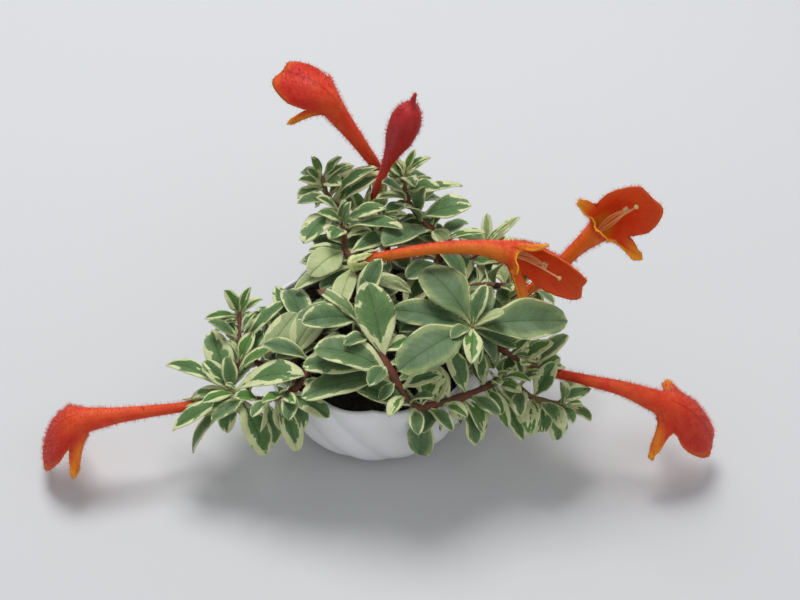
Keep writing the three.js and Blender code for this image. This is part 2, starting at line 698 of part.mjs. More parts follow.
// Stalk, cup and toothed sepals, which stand round the foot of the tube
function calyx(flower, radii) {
  const curve = curveThrough(flower.path.map(seen));
  const frame = flowerFrame(curve, 0, new THREE.Vector3(...flower.back).normalize());
  const below = (distance) => frame.middle.clone().addScaledVector(frame.forward, -distance);
  const cup = [[3.4, 1.2], [2, 3.4], [0.4, 3.6]].map(([distance, radius]) => {
    const ring = { ...frame, middle: below(distance) };
    return Array.from({ length: 5 }, (_, i) => ringPoint(ring, radius, (2 * Math.PI * (i + 0.5)) / 5));
  });
  const stalkStart = seen(flower.stem);
  const towards = below(3).sub(stalkStart).normalize();
  const clear = stalkStart.clone().addScaledVector(towards, STEM_RADIUS + 0.7);
  const stalk = rod(new THREE.LineCurve3(clear, below(2)), 0.9, 4, 1);
  const sepals = Array.from({ length: SEPAL_COUNT }, (_, i) => {
    const angle = (2 * Math.PI * (i + 0.5)) / SEPAL_COUNT;
    const from = ringPoint({ ...frame, middle: below(1.2) }, 2.8, angle);
    const tip = ringPoint({ ...frame, middle: below(-SEPAL_LENGTH) }, 5.2, angle);
    const out = ringPoint(frame, 1, angle).sub(frame.middle);
    const along = tip.clone().sub(from).normalize();
    const level = new THREE.Vector3(0, 0, 1);
    level.addScaledVector(along, -level.dot(along)).normalize();
    const wanted = out.clone().addScaledVector(along, -out.dot(along)).normalize();
    const roll = Math.atan2(new THREE.Vector3().crossVectors(level, wanted).dot(along), level.dot(wanted));
    return blade({
      from,
      tip,
      width: SEPAL_WIDTH,
      rootWidth: 2.4,
      outline: SEPAL_OUTLINE,
      arch: 0.02,
      roll,
      keel: 0,
      wave: 0,
      phase: 0,
      thick: 1,
      broad: false,
      grow: 0,
    });
  });
  return join([stack(cup), stalk, ...sepals]).subtract(tubeSpace(flower, radii, 0.35));
}

// Filaments joined in one column inside the tube, then the anthers' head and the longer style. The
// more a hood droops, the less they reach ahead.
function stamens(flower) {
  const curve = curveThrough(flower.path.map(seen));
  const mouth = flowerFrame(curve, 1, new THREE.Vector3(...flower.back).normalize());
  const share = 1 - flower.bend / FULL_DROOP;
  const ahead = (forward, dorsal, side) => beyond(mouth, flower.bend, share * forward, dorsal, side);
  const floor = curve.getPoint(INNER_ROWS[INNER_ROWS.length - 1]).addScaledVector(mouth.forward, GAP);
  const column = rod(curveThrough([floor, curve.getPoint(0.82), ahead(-1, -0.5, 0)]), 0.9, 5, 2);
  const head = ahead(17, -2.2, 0.5);
  const tips = [
    [head, 1.4, [ahead(7, 0, 1.8)]],
    [head, 1.4, [ahead(7, 0, -1.6)]],
    [ahead(24, -7.5, 1.2), 1.1, [ahead(8, -1.6, 0), ahead(17, -4.8, 0.4)]],
  ];
  const threads = tips.flatMap(([end, size, through]) => {
    const knob = new THREE.OctahedronGeometry(size, 0);
    knob.translate(end.x, end.y, end.z);
    return [rod(curveThrough([ahead(-2, -0.5, 0), ...through, end]), 0.5, 3, 3), solid(knob)];
  });
  return join([column, ...threads]);
}

const LOOKS = {
  pot: { color: 0xe8e9ea, roughness: 0.35, metalness: 0 },
  soil: { color: 0x17130f, roughness: 0.95, metalness: 0 },
  shoot: { color: 0x6f8f63, roughness: 0.75, metalness: 0 },
  petal: { color: 0xcf3a22, roughness: 0.6, metalness: 0 },
  bud: { color: 0xa8222a, roughness: 0.6, metalness: 0 },
  calyx: { color: 0xc9cf94, roughness: 0.7, metalness: 0 },
  stamen: { color: 0xe6c9a0, roughness: 0.6, metalness: 0 },
};

function look(kind) {
  return new THREE.MeshStandardMaterial(LOOKS[kind]);
}

const group = new THREE.Group();
const grown = SHOOTS.map((shoot, i) => grow(shoot, 101 + 17 * i, null));
const potBody = pot();
const soilBody = soil(SHOOTS.map(({ root }) => root));
const blooms = FLOWERS.map((flower) => ({
  name: flower.name,
  corolla: corolla(flower),
  calyx: calyx(flower, TUBE_RADII),
  stamens: stamens(flower),
}));
const bud = { corolla: budCorolla(BUD, 0), calyx: calyx(BUD, BUD_RADII) };

group.add(meshOf("pot", potBody, look("pot")));
group.add(meshOf("potting_mix", soilBody, look("soil")));

// Leaves give way to the bowl, the flowers, every other stem and the leaves of the shoots before
const solidSpace = [potBody, soilBody, bud.corolla, bud.calyx];
for (const bloom of blooms) {
  solidSpace.push(bloom.corolla, bloom.calyx, bloom.stamens);
}
SHOOTS.forEach((shoot, i) => {
  const others = grown.flatMap((parts, j) => (j === i ? [] : parts.rodSpace));
  const earlier = grown.slice(0, i).flatMap((parts) => parts.leafSpace);
  const foliage = join(grown[i].leaves).subtract(join([...solidSpace, ...others, ...earlier]));
  const body = largest(join([...grown[i].rods, foliage]));
  group.add(meshOf(`leafy_stem_${shoot.name}`, body, look("shoot")));
});

for (const bloom of blooms) {
  group.add(meshOf(`corolla_${bloom.name}`, bloom.corolla, look("petal")));
  group.add(meshOf(`calyx_${bloom.name}`, largest(bloom.calyx), look("calyx")));
  group.add(meshOf(`stamens_${bloom.name}`, bloom.stamens, look("stamen")));
}
group.add(meshOf("corolla_bud", bud.corolla, look("bud")));
group.add(meshOf("calyx_bud", largest(bud.calyx), look("calyx")));

export default group;
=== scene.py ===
"""A potted, variegated trailing plant in flower, dressed piece by piece around its fixed frame."""

import json
import math

import bpy
import numpy as np
from bpy.props import FloatProperty, FloatVectorProperty, PointerProperty
from bpy.types import Operator, Panel, PropertyGroup
from mathutils.bvhtree import BVHTree
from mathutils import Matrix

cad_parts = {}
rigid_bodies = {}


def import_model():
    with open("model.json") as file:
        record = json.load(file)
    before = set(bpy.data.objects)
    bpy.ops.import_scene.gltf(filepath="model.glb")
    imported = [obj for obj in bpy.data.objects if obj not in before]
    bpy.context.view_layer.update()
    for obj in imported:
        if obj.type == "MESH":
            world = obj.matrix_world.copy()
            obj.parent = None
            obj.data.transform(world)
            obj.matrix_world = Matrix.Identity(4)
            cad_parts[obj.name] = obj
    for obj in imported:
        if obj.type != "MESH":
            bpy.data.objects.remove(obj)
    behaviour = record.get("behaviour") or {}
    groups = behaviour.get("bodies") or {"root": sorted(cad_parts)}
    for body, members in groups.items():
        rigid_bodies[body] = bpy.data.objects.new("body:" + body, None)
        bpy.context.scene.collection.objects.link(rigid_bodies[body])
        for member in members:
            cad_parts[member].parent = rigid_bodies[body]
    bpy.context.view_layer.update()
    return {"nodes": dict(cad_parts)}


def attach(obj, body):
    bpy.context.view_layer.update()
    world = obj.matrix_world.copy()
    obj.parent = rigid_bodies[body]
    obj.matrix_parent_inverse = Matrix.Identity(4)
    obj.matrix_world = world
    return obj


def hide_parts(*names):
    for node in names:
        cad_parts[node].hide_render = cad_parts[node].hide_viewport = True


bl_info = {
    "name": "Potted Variegated Columnea",
    "version": (1, 0, 0),
    "blender": (4, 5, 0),
    "location": "View3D > Sidebar > Plant",
    "description": "Builds the bowl, soil, leafy shoots and flowers of a potted plant around its frame",
    "category": "Add Mesh",
}

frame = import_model()

# Sizes below are in millimetres, and this turns them into Blender's metres
MM = 0.001

# The bowl. Its profiles are rows of height and radius, and its flutes turn by so many radians.
POT_HEIGHT = 50
POT_RADIUS = 50
POT_WALL = 2
POT_FLOOR = 3
POT_PROFILE = [(0, 30), (2, 33.5), (9, 40), (19, 45), (31, 48), (42, 49.6), (49, POT_RADIUS)]
FOOT_RING = [(0.6, 0), (0.6, 26), (0, 27)]
FLOOR_INSIDE = [(POT_FLOOR, 30), (POT_FLOOR, 0)]
FLUTES = 14
FLUTE_DEPTH = 1.7
FLUTE_TURN = -0.7
PLAIN_RADIUS = 28
PLAIN_HEIGHT = 12

# The potting mix. TOP_ROWS is the share of its sheet's rows on the top. The rest go down the side.
SOIL_TOP = 44
SOIL_MOUND = 1.2
SOIL_GAP = 4
SOIL_DEPTH = 22
SOIL_SEED = 7
TOP_ROWS = 0.8
LUMPS = 90
LUMP_HEIGHTS = (-0.7, 0.9)
LUMP_REACH = 3.2
CRUMBS = 900
CRUMB_RADII = (0.35, 1.25)

# Stems. Radii are those at the start and at the end. PAIR_STEP and END_REACH count in a path's stations.
STEM_RADII = (1.65, 0.9)
TWIG_RADII = (0.95, 0.65)
SWELLING = 0.3
ROOT_DEPTHS = (33, 39, 45.5)
END_REACH = 1.12
PAIR_STEP = 0.28

# Leaves. A broad leaf has a finer mesh, a narrow one is young, and a short one is widest nearer its
# stem. LEAF_FOOT is the share of a leaf, next to the stem, where leaves may meet.
BROAD_LEAF = 7.5
YOUNG_LEAF = 6.5
SHORT_LEAF = 21
WIDEST_AT = 0.56
SHORT_WIDEST_AT = 0.52
PETIOLE_WIDTH = 1.5
ROOT_SINK = 0.8
LEAF_WAVE = 0.03
LEAF_FOOT = 0.16
VEIN_GAP = 3.4
EDGE_THICKNESS = 0.32
FIRST_SEED = 101
SHOOT_SEED_STEP = 17
TWIG_SEED_STEP = 31

# Each kind of leaf: how far its cream border reaches in, how young and how pale it is
LEAF_KINDS = {
    "old": (0.08, 0.0, 0.02),
    "grey": (0.07, 0.0, 0.05),
    "thin": (0.2, 0.15, 0.05),
    "bordered": (0.36, 0.4, 0.02),
    "young": (0.46, 0.95, 0.05),
    "cream": (0.1, 0.6, 0.95),
    "pale": (0.3, 0.45, 0.62),
    "shaded": (0.14, 0.05, 0.0),
    "withered": (0.3, 0.6, 0.3),
}

# Small leaves in crossed pairs that clothe the stems between the leaves of the table. Before the low
# station they spread over the soil, closer together and longer.
FILL_SEED = 900
FILL_STEP = 0.3
FILL_LENGTHS = (12, 20)
FILL_KINDS = ("bordered", "thin", "young")
GROUND_STEP = 0.16
GROUND_LENGTHS = (19, 27)
FIRST_STATION = -0.5
LOW_STATION = 0.6
RIM_CLEARANCE = 3

# Flowers. A row of an edge says how many degrees from the middle of the hood its place is, and how far
# forward, towards the hood's back and to the side. A flower's bend is how many degrees it turns down
# over HOOD_REACH, and one of FULL_BEND would have stamens of no length.
HOOD_REACH = 34
FULL_BEND = 120
MOUTH_RADIUS = 5
TUBE_SHARE = 0.58
TUBE_RADII = [(0, 1.7), (0.1, 1.9), (0.3, 2.1), (0.55, 2.6), (0.78, 3.4), (0.92, 4.4), (1, MOUTH_RADIUS)]
HOOD_EDGE = [
    (0, 34.5, -5, 0), (12, 35.5, -6, 5.5), (26, 31, -7, 9.5), (48, 20, -6, 12), (68, 10, -1.5, 10),
]
LOBE_EDGE = [(88, 1.5, 1.4, -0.8), (96, 0.8, -0.8, 1.3), (104, -1.6, -1.9, -1.2)]
NOTCH_EDGE = [(120, 4.5, -5.5, 6.5), (150, 3, -8, 3.5)]
FRILL = 0.35
BUD_RADII = [
    (0, 1.5), (0.15, 1.5), (0.35, 2), (0.5, 3.6), (0.63, 6), (0.76, 6.6), (0.86, 4.8), (0.91, 1.5),
    (1, 0.6),
]
STALK_RADII = [(0, 1.15), (0.3, 0.85), (0.8, 0.9), (1, 1.3)]
CUP_RADII = [(0, 0.9), (0.15, 1.6), (0.4, 3.1), (0.7, 3.6), (0.92, 3.3), (1, 2.6)]
SEPALS = 5
SEPAL_LENGTH = 15
SEPAL_WIDTH = 5.06
SEPAL_THICKNESS = 0.6
SEPAL_OUTLINE = [(0, 0.52), (0.3, 0.95), (0.45, 0.66), (0.62, 0.8), (0.8, 0.45), (1, 0)]
COLUMN_RADII = [(0, 0.95), (1, 0.9)]
FILAMENT_RADII = [(0, 0.42), (0.7, 0.34), (1, 0.24)]
STYLE_RADII = [(0, 0.45), (0.8, 0.36), (1, 0.4)]
ANTHER_PLACES = ((0.75, 0.55), (-0.75, 0.55), (0.75, -0.65), (-0.75, -0.65))
ANTHER_RADII = [(0, 0.15), (0.12, 0.5), (0.5, 0.78), (0.88, 0.5), (1, 0.15)]
STIGMA_RADII = [(0, 0.2), (0.2, 0.75), (0.55, 1.05), (0.9, 0.6), (1, 0.2)]

# How deep light goes into petals
PETAL_GLOW = {"Subsurface_Weight": 0.1, "Subsurface_Scale": 0.001, "Subsurface_Radius": (1.0, 0.3, 0.1)}

# Hairs of each part: how many to a square millimetre, how far they lean, and their first seed
HAIRS = {
    "leaf": (0.55, 0.35, 11),
    "margin": (3.2, 0.45, 41),
    "stem": (0.9, 0.3, 71),
    "petal": (1.5, 0.3, 101),
    "bud": (1.7, 0.3, 140),
    "sepal": (1.0, 0.35, 160),
}

# The camera looks down at 45 degrees from the front
CAMERA_TARGET = np.array((10.2, -1.0, 68.5))
CAMERA_DISTANCE = 700
CAMERA_TILT = math.radians(45)
CAMERA_FOCUS_PX = 1645
IMAGE_WIDTH_PX = 800
SENSOR_WIDTH = 36

# Where the lights look, in metres
LIGHT_TARGET = (0, 0.03, 0.03)

# Shoots: where each stands in the soil, its way from there, and its leaves. A leaf is its station on
# the path, the place of its tip as seen from 45 degrees above (across, how far up the picture, and
# height), its width, and its kind where the width doesn't tell. A twig starts at a station too.
SHOOTS = [
    {
        "name": "left",
        "root": (-16, -6),
        "path": [
            (-22.8, 41.3, 59), (-30.9, 18.9, 57), (-37.5, 12.9, 54), (-45.8, 9.2, 50), (-54.9, 10.4, 46),
            (-62.2, 13.1, 44),
        ],
        "leaves": [
            (5, -70.8, 49.3, 56, 12), (5, -73, 31, 54, 8), (4.8, -29, 23.8, 62, 15),
            (4.5, -46.1, -25.3, 28, 12), (5, -63.1, -11.8, 34, 8.5), (5, -71.9, 7.6, 51, 6),
            (5, -62, 18.3, 56, 4), (5, -86, -10, 34, 10), (4.6, -74.6, -8.4, 27, 8, "young"),
            (5, -79.4, -25.5, 17, 7), (4.8, -91.2, 28.3, 40, 7), (4.4, -79.5, 8.2, 36, 6),
            (2.2, -40.5, 19, 63, 5), (2.2, -36.1, 16.6, 62, 5), (2.2, -46.3, 8.5, 58, 5),
            (2.1, -32.6, 8.3, 60, 5), (2, -18.7, -0.8, 49, 9), (2.5, -32.5, -22.3, 32, 9.5),
            (2.2, -30, -9.4, 38, 8), (3, -44.3, -20.9, 24, 11), (0, -7.7, 22.8, 54, 11, "shaded"),
            (1.4, -41.8, 26.3, 50, 11, "shaded"), (0.6, -21.6, 26.6, 54, 11, "shaded"),
        ],
        "twigs": [
            {
                "from": 4.9,
                "path": [(-58.4, 31.3, 50), (-58.5, 46.3, 54), (-59.2, 59.9, 58), (-59.9, 67.5, 62)],
                "leaves": [
                    (4, -64.5, 73.5, 70, 7, "young"), (4, -53.9, 75.4, 70, 4.5),
                    (3.6, -49.1, 68.7, 64, 5), (3.4, -71.1, 53.8, 54, 7, "young"),
                    (3.6, -73.9, 56.5, 58, 4), (2.6, -67.3, 53.7, 50, 6),
                    (1.4, -38.5, 67.5, 62, 6, "bordered"),
                ],
            },
        ],
    },
    {
        "name": "mid_left",
        "root": (-22, 2),
        "path": [
            (-27.9, 42.1, 57), (-36.4, 29.6, 56), (-47.7, 28.3, 52), (-54.4, 34.9, 49), (-60.4, 41.6, 46),
        ],
        "leaves": [
            (2.2, -33.7, 60.2, 64, 12, "pale"), (1.1, -21.3, 65, 67, 13, "pale"), (3, -48.8, 49.4, 57, 9),
            (0.3, -44.8, 76.3, 56, 8), (4, -68.2, 39.3, 40, 7), (4, -64.1, 51.6, 46, 7),
            (3.4, -61.4, 29.4, 40, 7), (0.5, -51.6, 63.9, 54, 9), (0, -39.5, 74.2, 57, 12, "shaded"),
            (0.2, -18.5, 68, 60, 12, "shaded"), (-0.3, -38.6, 51.9, 55, 12, "shaded"),
        ],
    },
    {
        "name": "front",
        "root": (-8, -2),
        "path": [
            (-8.8, 60.1, 70), (-2.1, 43.8, 72), (4, 31.4, 68), (10.2, 16.5, 61), (16.4, 5.4, 55),
            (26.7, 7.1, 51.5), (36.1, 10.3, 50), (46, 15.7, 48), (53.4, 20.8, 47), (60.3, 15.9, 44),
            (66.7, 8.6, 40), (74, 6.1, 38), (81, 3.6, 36),
        ],
        "leaves": [
            (2, -3.6, 78.7, 88, 17), (2.6, -25.2, 39.9, 76, 17, "thin"), (2.2, -30, 29.2, 67, 14, "thin"),
            (2.5, -30.3, 11.4, 60, 15, "thin"), (4.4, -8.7, 17.7, 62, 12, "thin"),
            (5, 18.4, -9.8, 47, 8, "old"), (4.5, 18.6, -25.6, 26, 12, "old"), (6.2, 29.6, 38.2, 68, 10),
            (5.5, 21.7, 31.1, 64, 8), (5, 16.4, 19.6, 60, 7), (7, 40.2, 39.3, 66, 7.5),
            (8, 54.4, 34.4, 62, 4.5), (8, 64.6, 20, 57, 4), (8, 48.1, 24, 58, 6), (8, 56.8, 26.1, 60, 4),
            (8, 51.7, 18.3, 57, 5), (8, 62.8, -17.1, 28, 7.5), (7.3, 56, -9, 36, 6),
            (6, 43.7, -18.2, 28, 15), (5.8, 35, -2.8, 46, 8), (7, 53.3, -0.6, 42, 7),
            (10, 75.8, 30.5, 56, 9), (11.4, 91.2, 14.8, 44, 7), (11.8, 77.9, 20, 57, 4.5),
            (12, 86.7, 6.3, 44, 3.5), (12, 92, -4.8, 32, 7), (12, 82.8, -4.9, 31, 4),
            (10.6, 71.3, -13, 26, 7), (10.4, 66.1, -15.2, 22, 7), (0.6, -24.1, 73.9, 84, 7, "withered"),
            (-0.2, -24.2, 50, 57, 12, "shaded"), (-0.4, -14.5, 64, 56, 11, "shaded"),
            (-0.4, 2.9, 63, 58, 12, "shaded"), (3.4, 11.9, 7.9, 53, 11, "shaded"),
        ],
    },
    {
        "name": "centre",
        "root": (26, -8),
        "path": [(29.9, 48.1, 60), (37.3, 50.5, 72), (40.6, 52.4, 78)],
        "leaves": [
            (2, 79.1, 55.3, 80, 19, "grey"), (1.9, 20.2, 86.4, 86, 18, "grey"),
            (1.8, 5.6, 61.6, 75, 13, "old"), (2, 9.4, 27.1, 75, 20, "grey"),
            (2, 52.4, 60.4, 88, 9, "cream"), (1.9, 47, 73.4, 81, 11, "grey"),
            (1.7, 39.7, 73.5, 76, 9, "grey"), (1.6, 36.1, 36.6, 62, 9, "old"),
            (1.6, 49.6, 31, 62, 8, "old"), (1.5, 58.4, 39.6, 70, 6, "old"),
            (0, 37.5, 24.8, 55, 12, "shaded"), (-0.3, 9, 54, 60, 13, "shaded"),
            (-0.4, 9, 31, 53, 12, "shaded"), (-0.2, 19.8, 20.9, 54, 12, "shaded"),
        ],
    },
    {
        "name": "right",
        "root": (34, 2),
        "path": [(42.1, 52, 59), (54.7, 36.3, 56), (64.5, 30.2, 52), (71.9, 24.8, 48)],
        "leaves": [
            (1, 70, 31, 50, 8), (2, 61.1, 29.7, 58, 5), (2.6, 78.6, 32.6, 52, 6), (3, 81.2, 27.4, 40, 6),
            (1.4, 62, 22.1, 46, 7), (0.8, 60.4, 49.9, 56, 9, "young"), (2.2, 69, 43.6, 48, 8),
            (0, 50, 26.1, 48, 11), (0.4, 33.8, 20.5, 49, 9), (-0.2, 46.7, 61.9, 56, 11),
            (-0.4, 26.3, 59.9, 55, 10),
        ],
    },
    {
        "name": "right_back",
        "root": (28, 18),
        "path": [(40.7, 75.2, 61), (55.8, 76.2, 64), (62.3, 73.6, 62), (71.3, 74.9, 60)],
        "leaves": [
            (1.2, 53.1, 66, 64, 7, "thin"), (2, 62.7, 89.2, 66, 9, "pale"), (3, 69.9, 62.9, 54, 6),
            (1, 52.5, 91, 68, 8, "pale"), (2.8, 84.9, 70.1, 50, 7), (3, 83.7, 87, 52, 8),
            (0.6, 42, 62, 66, 8, "thin"), (2, 72.4, 57.7, 44, 8), (0.2, 51.8, 86.8, 56, 11),
            (-0.3, 43.4, 88.9, 57, 12), (-0.2, 37.3, 97.5, 58, 10),
        ],
        "twigs": [
            {
                "from": -0.4,
                "path": [(39.1, 88.8, 60), (49.6, 99.3, 63), (57.1, 107.8, 65)],
                "leaves": [
                    (3, 48.9, 122.2, 74, 5, "pale"), (3, 63.4, 120.2, 74, 5, "pale"),
                    (3, 66.2, 104.9, 69, 4), (3, 58.6, 115.6, 80, 4), (2.4, 35.8, 106.7, 72, 8),
                    (2, 65, 99.8, 56, 8), (3, 65.9, 104.6, 50, 8), (3, 48.7, 113.2, 54, 8),
                ],
            },
        ],
    },
    {
        "name": "back",
        "root": (14, 22),
        "path": [
            (27, 90.8, 62), (27, 106.3, 68), (20.8, 116.5, 72), (14.7, 127.3, 76), (12, 138.2, 80),
            (12.4, 148.4, 84),
        ],
        "leaves": [
            (5, 16.9, 162.4, 94, 4), (5, 23.5, 157.3, 92, 6), (5, 8.4, 155.2, 92, 6),
            (4.6, 4.7, 148.1, 86, 8), (4.5, 6.2, 136.6, 81, 7), (4.6, 16.7, 137.9, 90, 7),
            (3.8, 27.9, 137.6, 84, 8), (3.4, 38.4, 140.4, 78, 6, "bordered"), (2.3, 41.5, 126.6, 81, 14),
            (1.6, 32.2, 101.6, 70, 9, "pale"), (0.8, 47.3, 109, 82, 6), (3.5, -0.3, 130.9, 84, 6),
            (3, 3.8, 122.2, 80, 7), (1.5, 3.3, 100.3, 81, 15, "grey"), (4, 22.9, 145.8, 68, 9),
            (3, 31.5, 130.5, 62, 9), (4.4, 7.8, 148.4, 66, 8), (-0.4, 5.9, 74.2, 56, 12),
            (-0.2, 22.3, 76.3, 58, 12), (0.2, 30.7, 84.6, 60, 11), (0, 13, 64, 59, 12),
            (0.1, 20.4, 96.3, 60, 12),
        ],
    },
    {
        "name": "back_middle",
        "root": (-2, 24),
        "path": [(-3, 96, 64), (-2, 108, 64), (-5, 116, 62), (-8, 120, 58)],
        "leaves": [
            (3, -17, 138, 72, 7), (3, 10, 124, 58, 9), (1.6, -18, 114, 57, 9), (-0.2, 5.8, 90.8, 58, 9),
            (-0.1, -10.2, 98.2, 58, 10), (1, 10, 108, 66, 8),
        ],
    },
    {
        "name": "back_left",
        "root": (-10, 14),
        "path": [
            (-9.9, 88.6, 66), (-13.9, 98.5, 70), (-14.6, 114.4, 72), (-17.5, 125.5, 74), (-22.5, 134, 76),
            (-24.8, 146.7, 82),
        ],
        "leaves": [
            (5, -28.8, 157.7, 92, 5), (5, -16, 157.7, 92, 5), (5, -14.8, 152.9, 87, 4),
            (5, -31.5, 151.2, 84, 4.5), (4.4, -35.6, 132.3, 78, 8), (4.6, -16, 139.4, 85, 8),
            (4, -28, 127.1, 71, 8), (3.6, 0, 151, 89, 8.5), (3.2, 3.5, 148.1, 86, 9),
            (2.2, -13.9, 129.4, 85, 6), (2.2, 3.8, 124.2, 85, 8), (1.9, 11.5, 111.4, 83, 9),
            (2.1, -25.9, 122.2, 80, 7), (1.8, -20.3, 105.4, 82, 8), (3, -32.2, 102.8, 72, 12),
            (0.7, 6.7, 107.8, 73, 9), (1, -28.9, 82.2, 71, 14, "cream"),
            (0.4, -25.9, 84.9, 61, 7, "pale"), (0, -35.7, 73.6, 64, 8, "pale"),
            (0, -15.6, 59.8, 77, 10, "cream"), (0, 14.8, 72.2, 80, 8, "pale"),
            (-0.2, 8, 64, 62, 9, "pale"), (-0.3, -34.1, 93.2, 57, 12),
        ],
    },
    {
        "name": "back_trailing",
        "root": (6, 34),
        "path": [(3.6, 108.2, 60), (-0.8, 115.4, 54), (-7.6, 116.3, 45), (-12.3, 112.5, 36)],
        "leaves": [
            (0.6, 20.6, 114.7, 62, 10), (1.2, -17, 116, 48, 9), (1.6, 14.3, 113.9, 46, 10),
            (2, -25.3, 118.7, 44, 10), (2.6, 5.5, 108.2, 32, 9), (3, -28.1, 108.3, 30, 9),
            (3, -10.5, 99.8, 18, 9), (-0.2, 22.7, 99.8, 55, 10),
        ],
    },
]

# Flowers: stem is where the stalk leaves its shoot, path runs from the calyx to the mouth, and back is
# the way that the back of the hood faces. The hood and its spread are shares of the usual size, and the
# side lobe and the lip end that far forward, towards the back and to the side of the mouth.
FLOWERS = [
    {
        "name": "left", "stem": (-62.6, 12.7, 44),
        "path": [(-69, 5, 30), (-84, 2.4, 33), (-103, -0.6, 35), (-121, -4, 34.5)],
        "back": (-0.3, -0.2, 1), "bend": 36,
        "hood": 0.95, "spread": 1, "lobe": (13, -11, 18), "lip": (6, -14),
    },
    {
        "name": "top", "stem": (-8, 120, 58),
        "path": [(1, 133, 64), (1, 148, 79), (-6.5, 163.5, 95), (-19, 186, 113)],
        "back": (0.6, -0.5, 0.65), "bend": 26,
        "hood": 0.8, "spread": 1, "lobe": (8, -9, 16), "lip": (5, -12),
    },
    {
        "name": "centre", "stem": (-9.8, 88.5, 67),
        "path": [(-8.5, 90, 77), (6, 94, 91), (27, 98, 97), (44.3, 98, 98), (54, 95.5, 96)],
        "back": (0.2, 0.95, -0.1), "bend": 14,
        "hood": 1, "spread": 0.8, "lobe": (13, -11, 17), "lip": (5, -12),
    },
    {
        "name": "upper_right", "stem": (55, 76, 64),
        "path": [(57, 66, 60), (66.4, 74.7, 72), (75, 85, 83), (84.7, 98.8, 95), (91.8, 107.5, 103)],
        "back": (0.2, 0.92, -0.2), "bend": 9,
        "hood": 0.92, "spread": 1, "lobe": (8, -8, 17.5), "lip": (4, -9),
    },
    {
        "name": "right", "stem": (64.7, 30, 52),
        "path": [(62, 24, 36), (77.4, 22.7, 42), (92, 18.6, 46.5), (105, 14.3, 46.2), (119.5, 6.5, 41)],
        "back": (0.3, -0.3, 0.85), "bend": 16,
        "hood": 1.04, "spread": 1, "lobe": (7, -12, 19), "lip": (12, -15),
    },
]

BUD = {
    "name": "bud",
    "stem": (-5, 116, 62),
    "path": [(-4, 126, 68), (3, 147, 94), (11, 170, 114), (17, 192, 134)],
    "back": (0, -0.7, 0.7),
}


# Shapes


def seen(place):
    """A place given as seen from 45 degrees above: across, how far up the picture, and its height."""
    across, up, height = place
    return np.array((across, up - height, height), float)


def unit(vectors):
    """Vectors of length one."""
    return vectors / np.linalg.norm(vectors, axis=-1, keepdims=True)


def dice(seed):
    """Seeded numbers from -1 to 1, so that every run grows the same plant."""
    state = seed
    while True:
        state = (state * 16807) % 2147483647
        yield 2 * state / 2147483647 - 1


def curve_at(stations, t):
    """Places on the smooth curve through the stations, at shares t of its spans."""
    points = np.asarray(stations, float)
    whole = np.vstack([2 * points[0] - points[1], points, 2 * points[-1] - points[-2]])
    travel = np.clip(np.asarray(t, float), 0, 1) * (len(points) - 1)
    span = np.minimum(travel.astype(int), len(points) - 2)
    u = (travel - span)[..., None]
    before, start, end, after = (whole[span + k] for k in range(4))
    leave = 0.5 * (end - before)
    arrive = 0.5 * (after - start)
    square = 3 * (end - start) - 2 * leave - arrive
    cube = 2 * (start - end) + leave + arrive
    return start + leave * u + square * u**2 + cube * u**3


def heading_at(stations, t):
    """Directions of travel along the curve through the stations."""
    t = np.asarray(t, float)
    return unit(curve_at(stations, t + 1e-4) - curve_at(stations, t - 1e-4))


def smooth_value(table, t):
    """Values between a table's rows, on a smooth curve that never passes beyond them."""
    x, y = np.array(table, float).T
    steps = np.diff(x)
    rises = np.diff(y) / steps
    product = rises[:-1] * rises[1:]
    total = rises[:-1] + rises[1:]
    inner = np.where(product > 0, 2 * product / np.where(total == 0, 1, total), 0)
    slopes = np.concatenate([rises[:1], inner, rises[-1:]])
    t = np.clip(t, x[0], x[-1])
    i = np.clip(np.searchsorted(x, t, side="right") - 1, 0, len(steps) - 1)
    u = (t - x[i]) / steps[i]
    rise = u**2 * (3 - 2 * u)
    bow = steps[i] * (u * (1 - u) ** 2 * slopes[i] - u**2 * (1 - u) * slopes[i + 1])
    return y[i] * (1 - rise) + y[i + 1] * rise + bow


def step_between(low, high, value):
    """Rises smoothly from 0 at low to 1 at high."""
    share = np.clip((value - low) / (high - low), 0, 1)
    return share**2 * (3 - 2 * share)


def only(*pieces):
    """Selects these pieces and nothing else, the first of them active."""
    bpy.ops.object.select_all(action="DESELECT")
    for piece in pieces:
        piece.select_set(True)
    bpy.context.view_layer.objects.active = pieces[0]


def started(primitive, **sizes):
    """A new primitive to be shaped, with nothing else selected."""
    bpy.ops.object.select_all(action="DESELECT")
    primitive(**sizes)
    return bpy.context.object


def placed(thing):
    """An object that is new, put into the scene."""
    bpy.context.scene.collection.objects.link(thing)
    return thing


def named(name, piece):
    """A piece whose object and mesh have the same name."""
    piece.name = name
    piece.data.name = name
    return piece


def places_of(piece):
    """The places of a piece's points, in its mesh's own units."""
    flat = np.empty(3 * len(piece.data.vertices))
    piece.data.vertices.foreach_get("co", flat)
    return flat.reshape(-1, 3)


def lay(piece, points):
    """Moves a piece's points to places given in millimetres."""
    piece.data.vertices.foreach_set("co", (np.asarray(points) * MM).ravel())
    piece.data.update()


def flat_sheet(name, across, along):
    """A flat sheet of cells, one unit each way, to be laid over a form."""
    grid = bpy.ops.mesh.primitive_grid_add
    return named(name, started(grid, x_subdivisions=across, y_subdivisions=along, size=1))


def laid_sheet(name, across, along, place):
    """A sheet of cells laid over a form. Place turns shares across and along into millimetres."""
    piece = flat_sheet(name, across, along)
    shares = places_of(piece) + 0.5
    lay(piece, place(shares[:, 0], shares[:, 1]))
    return piece


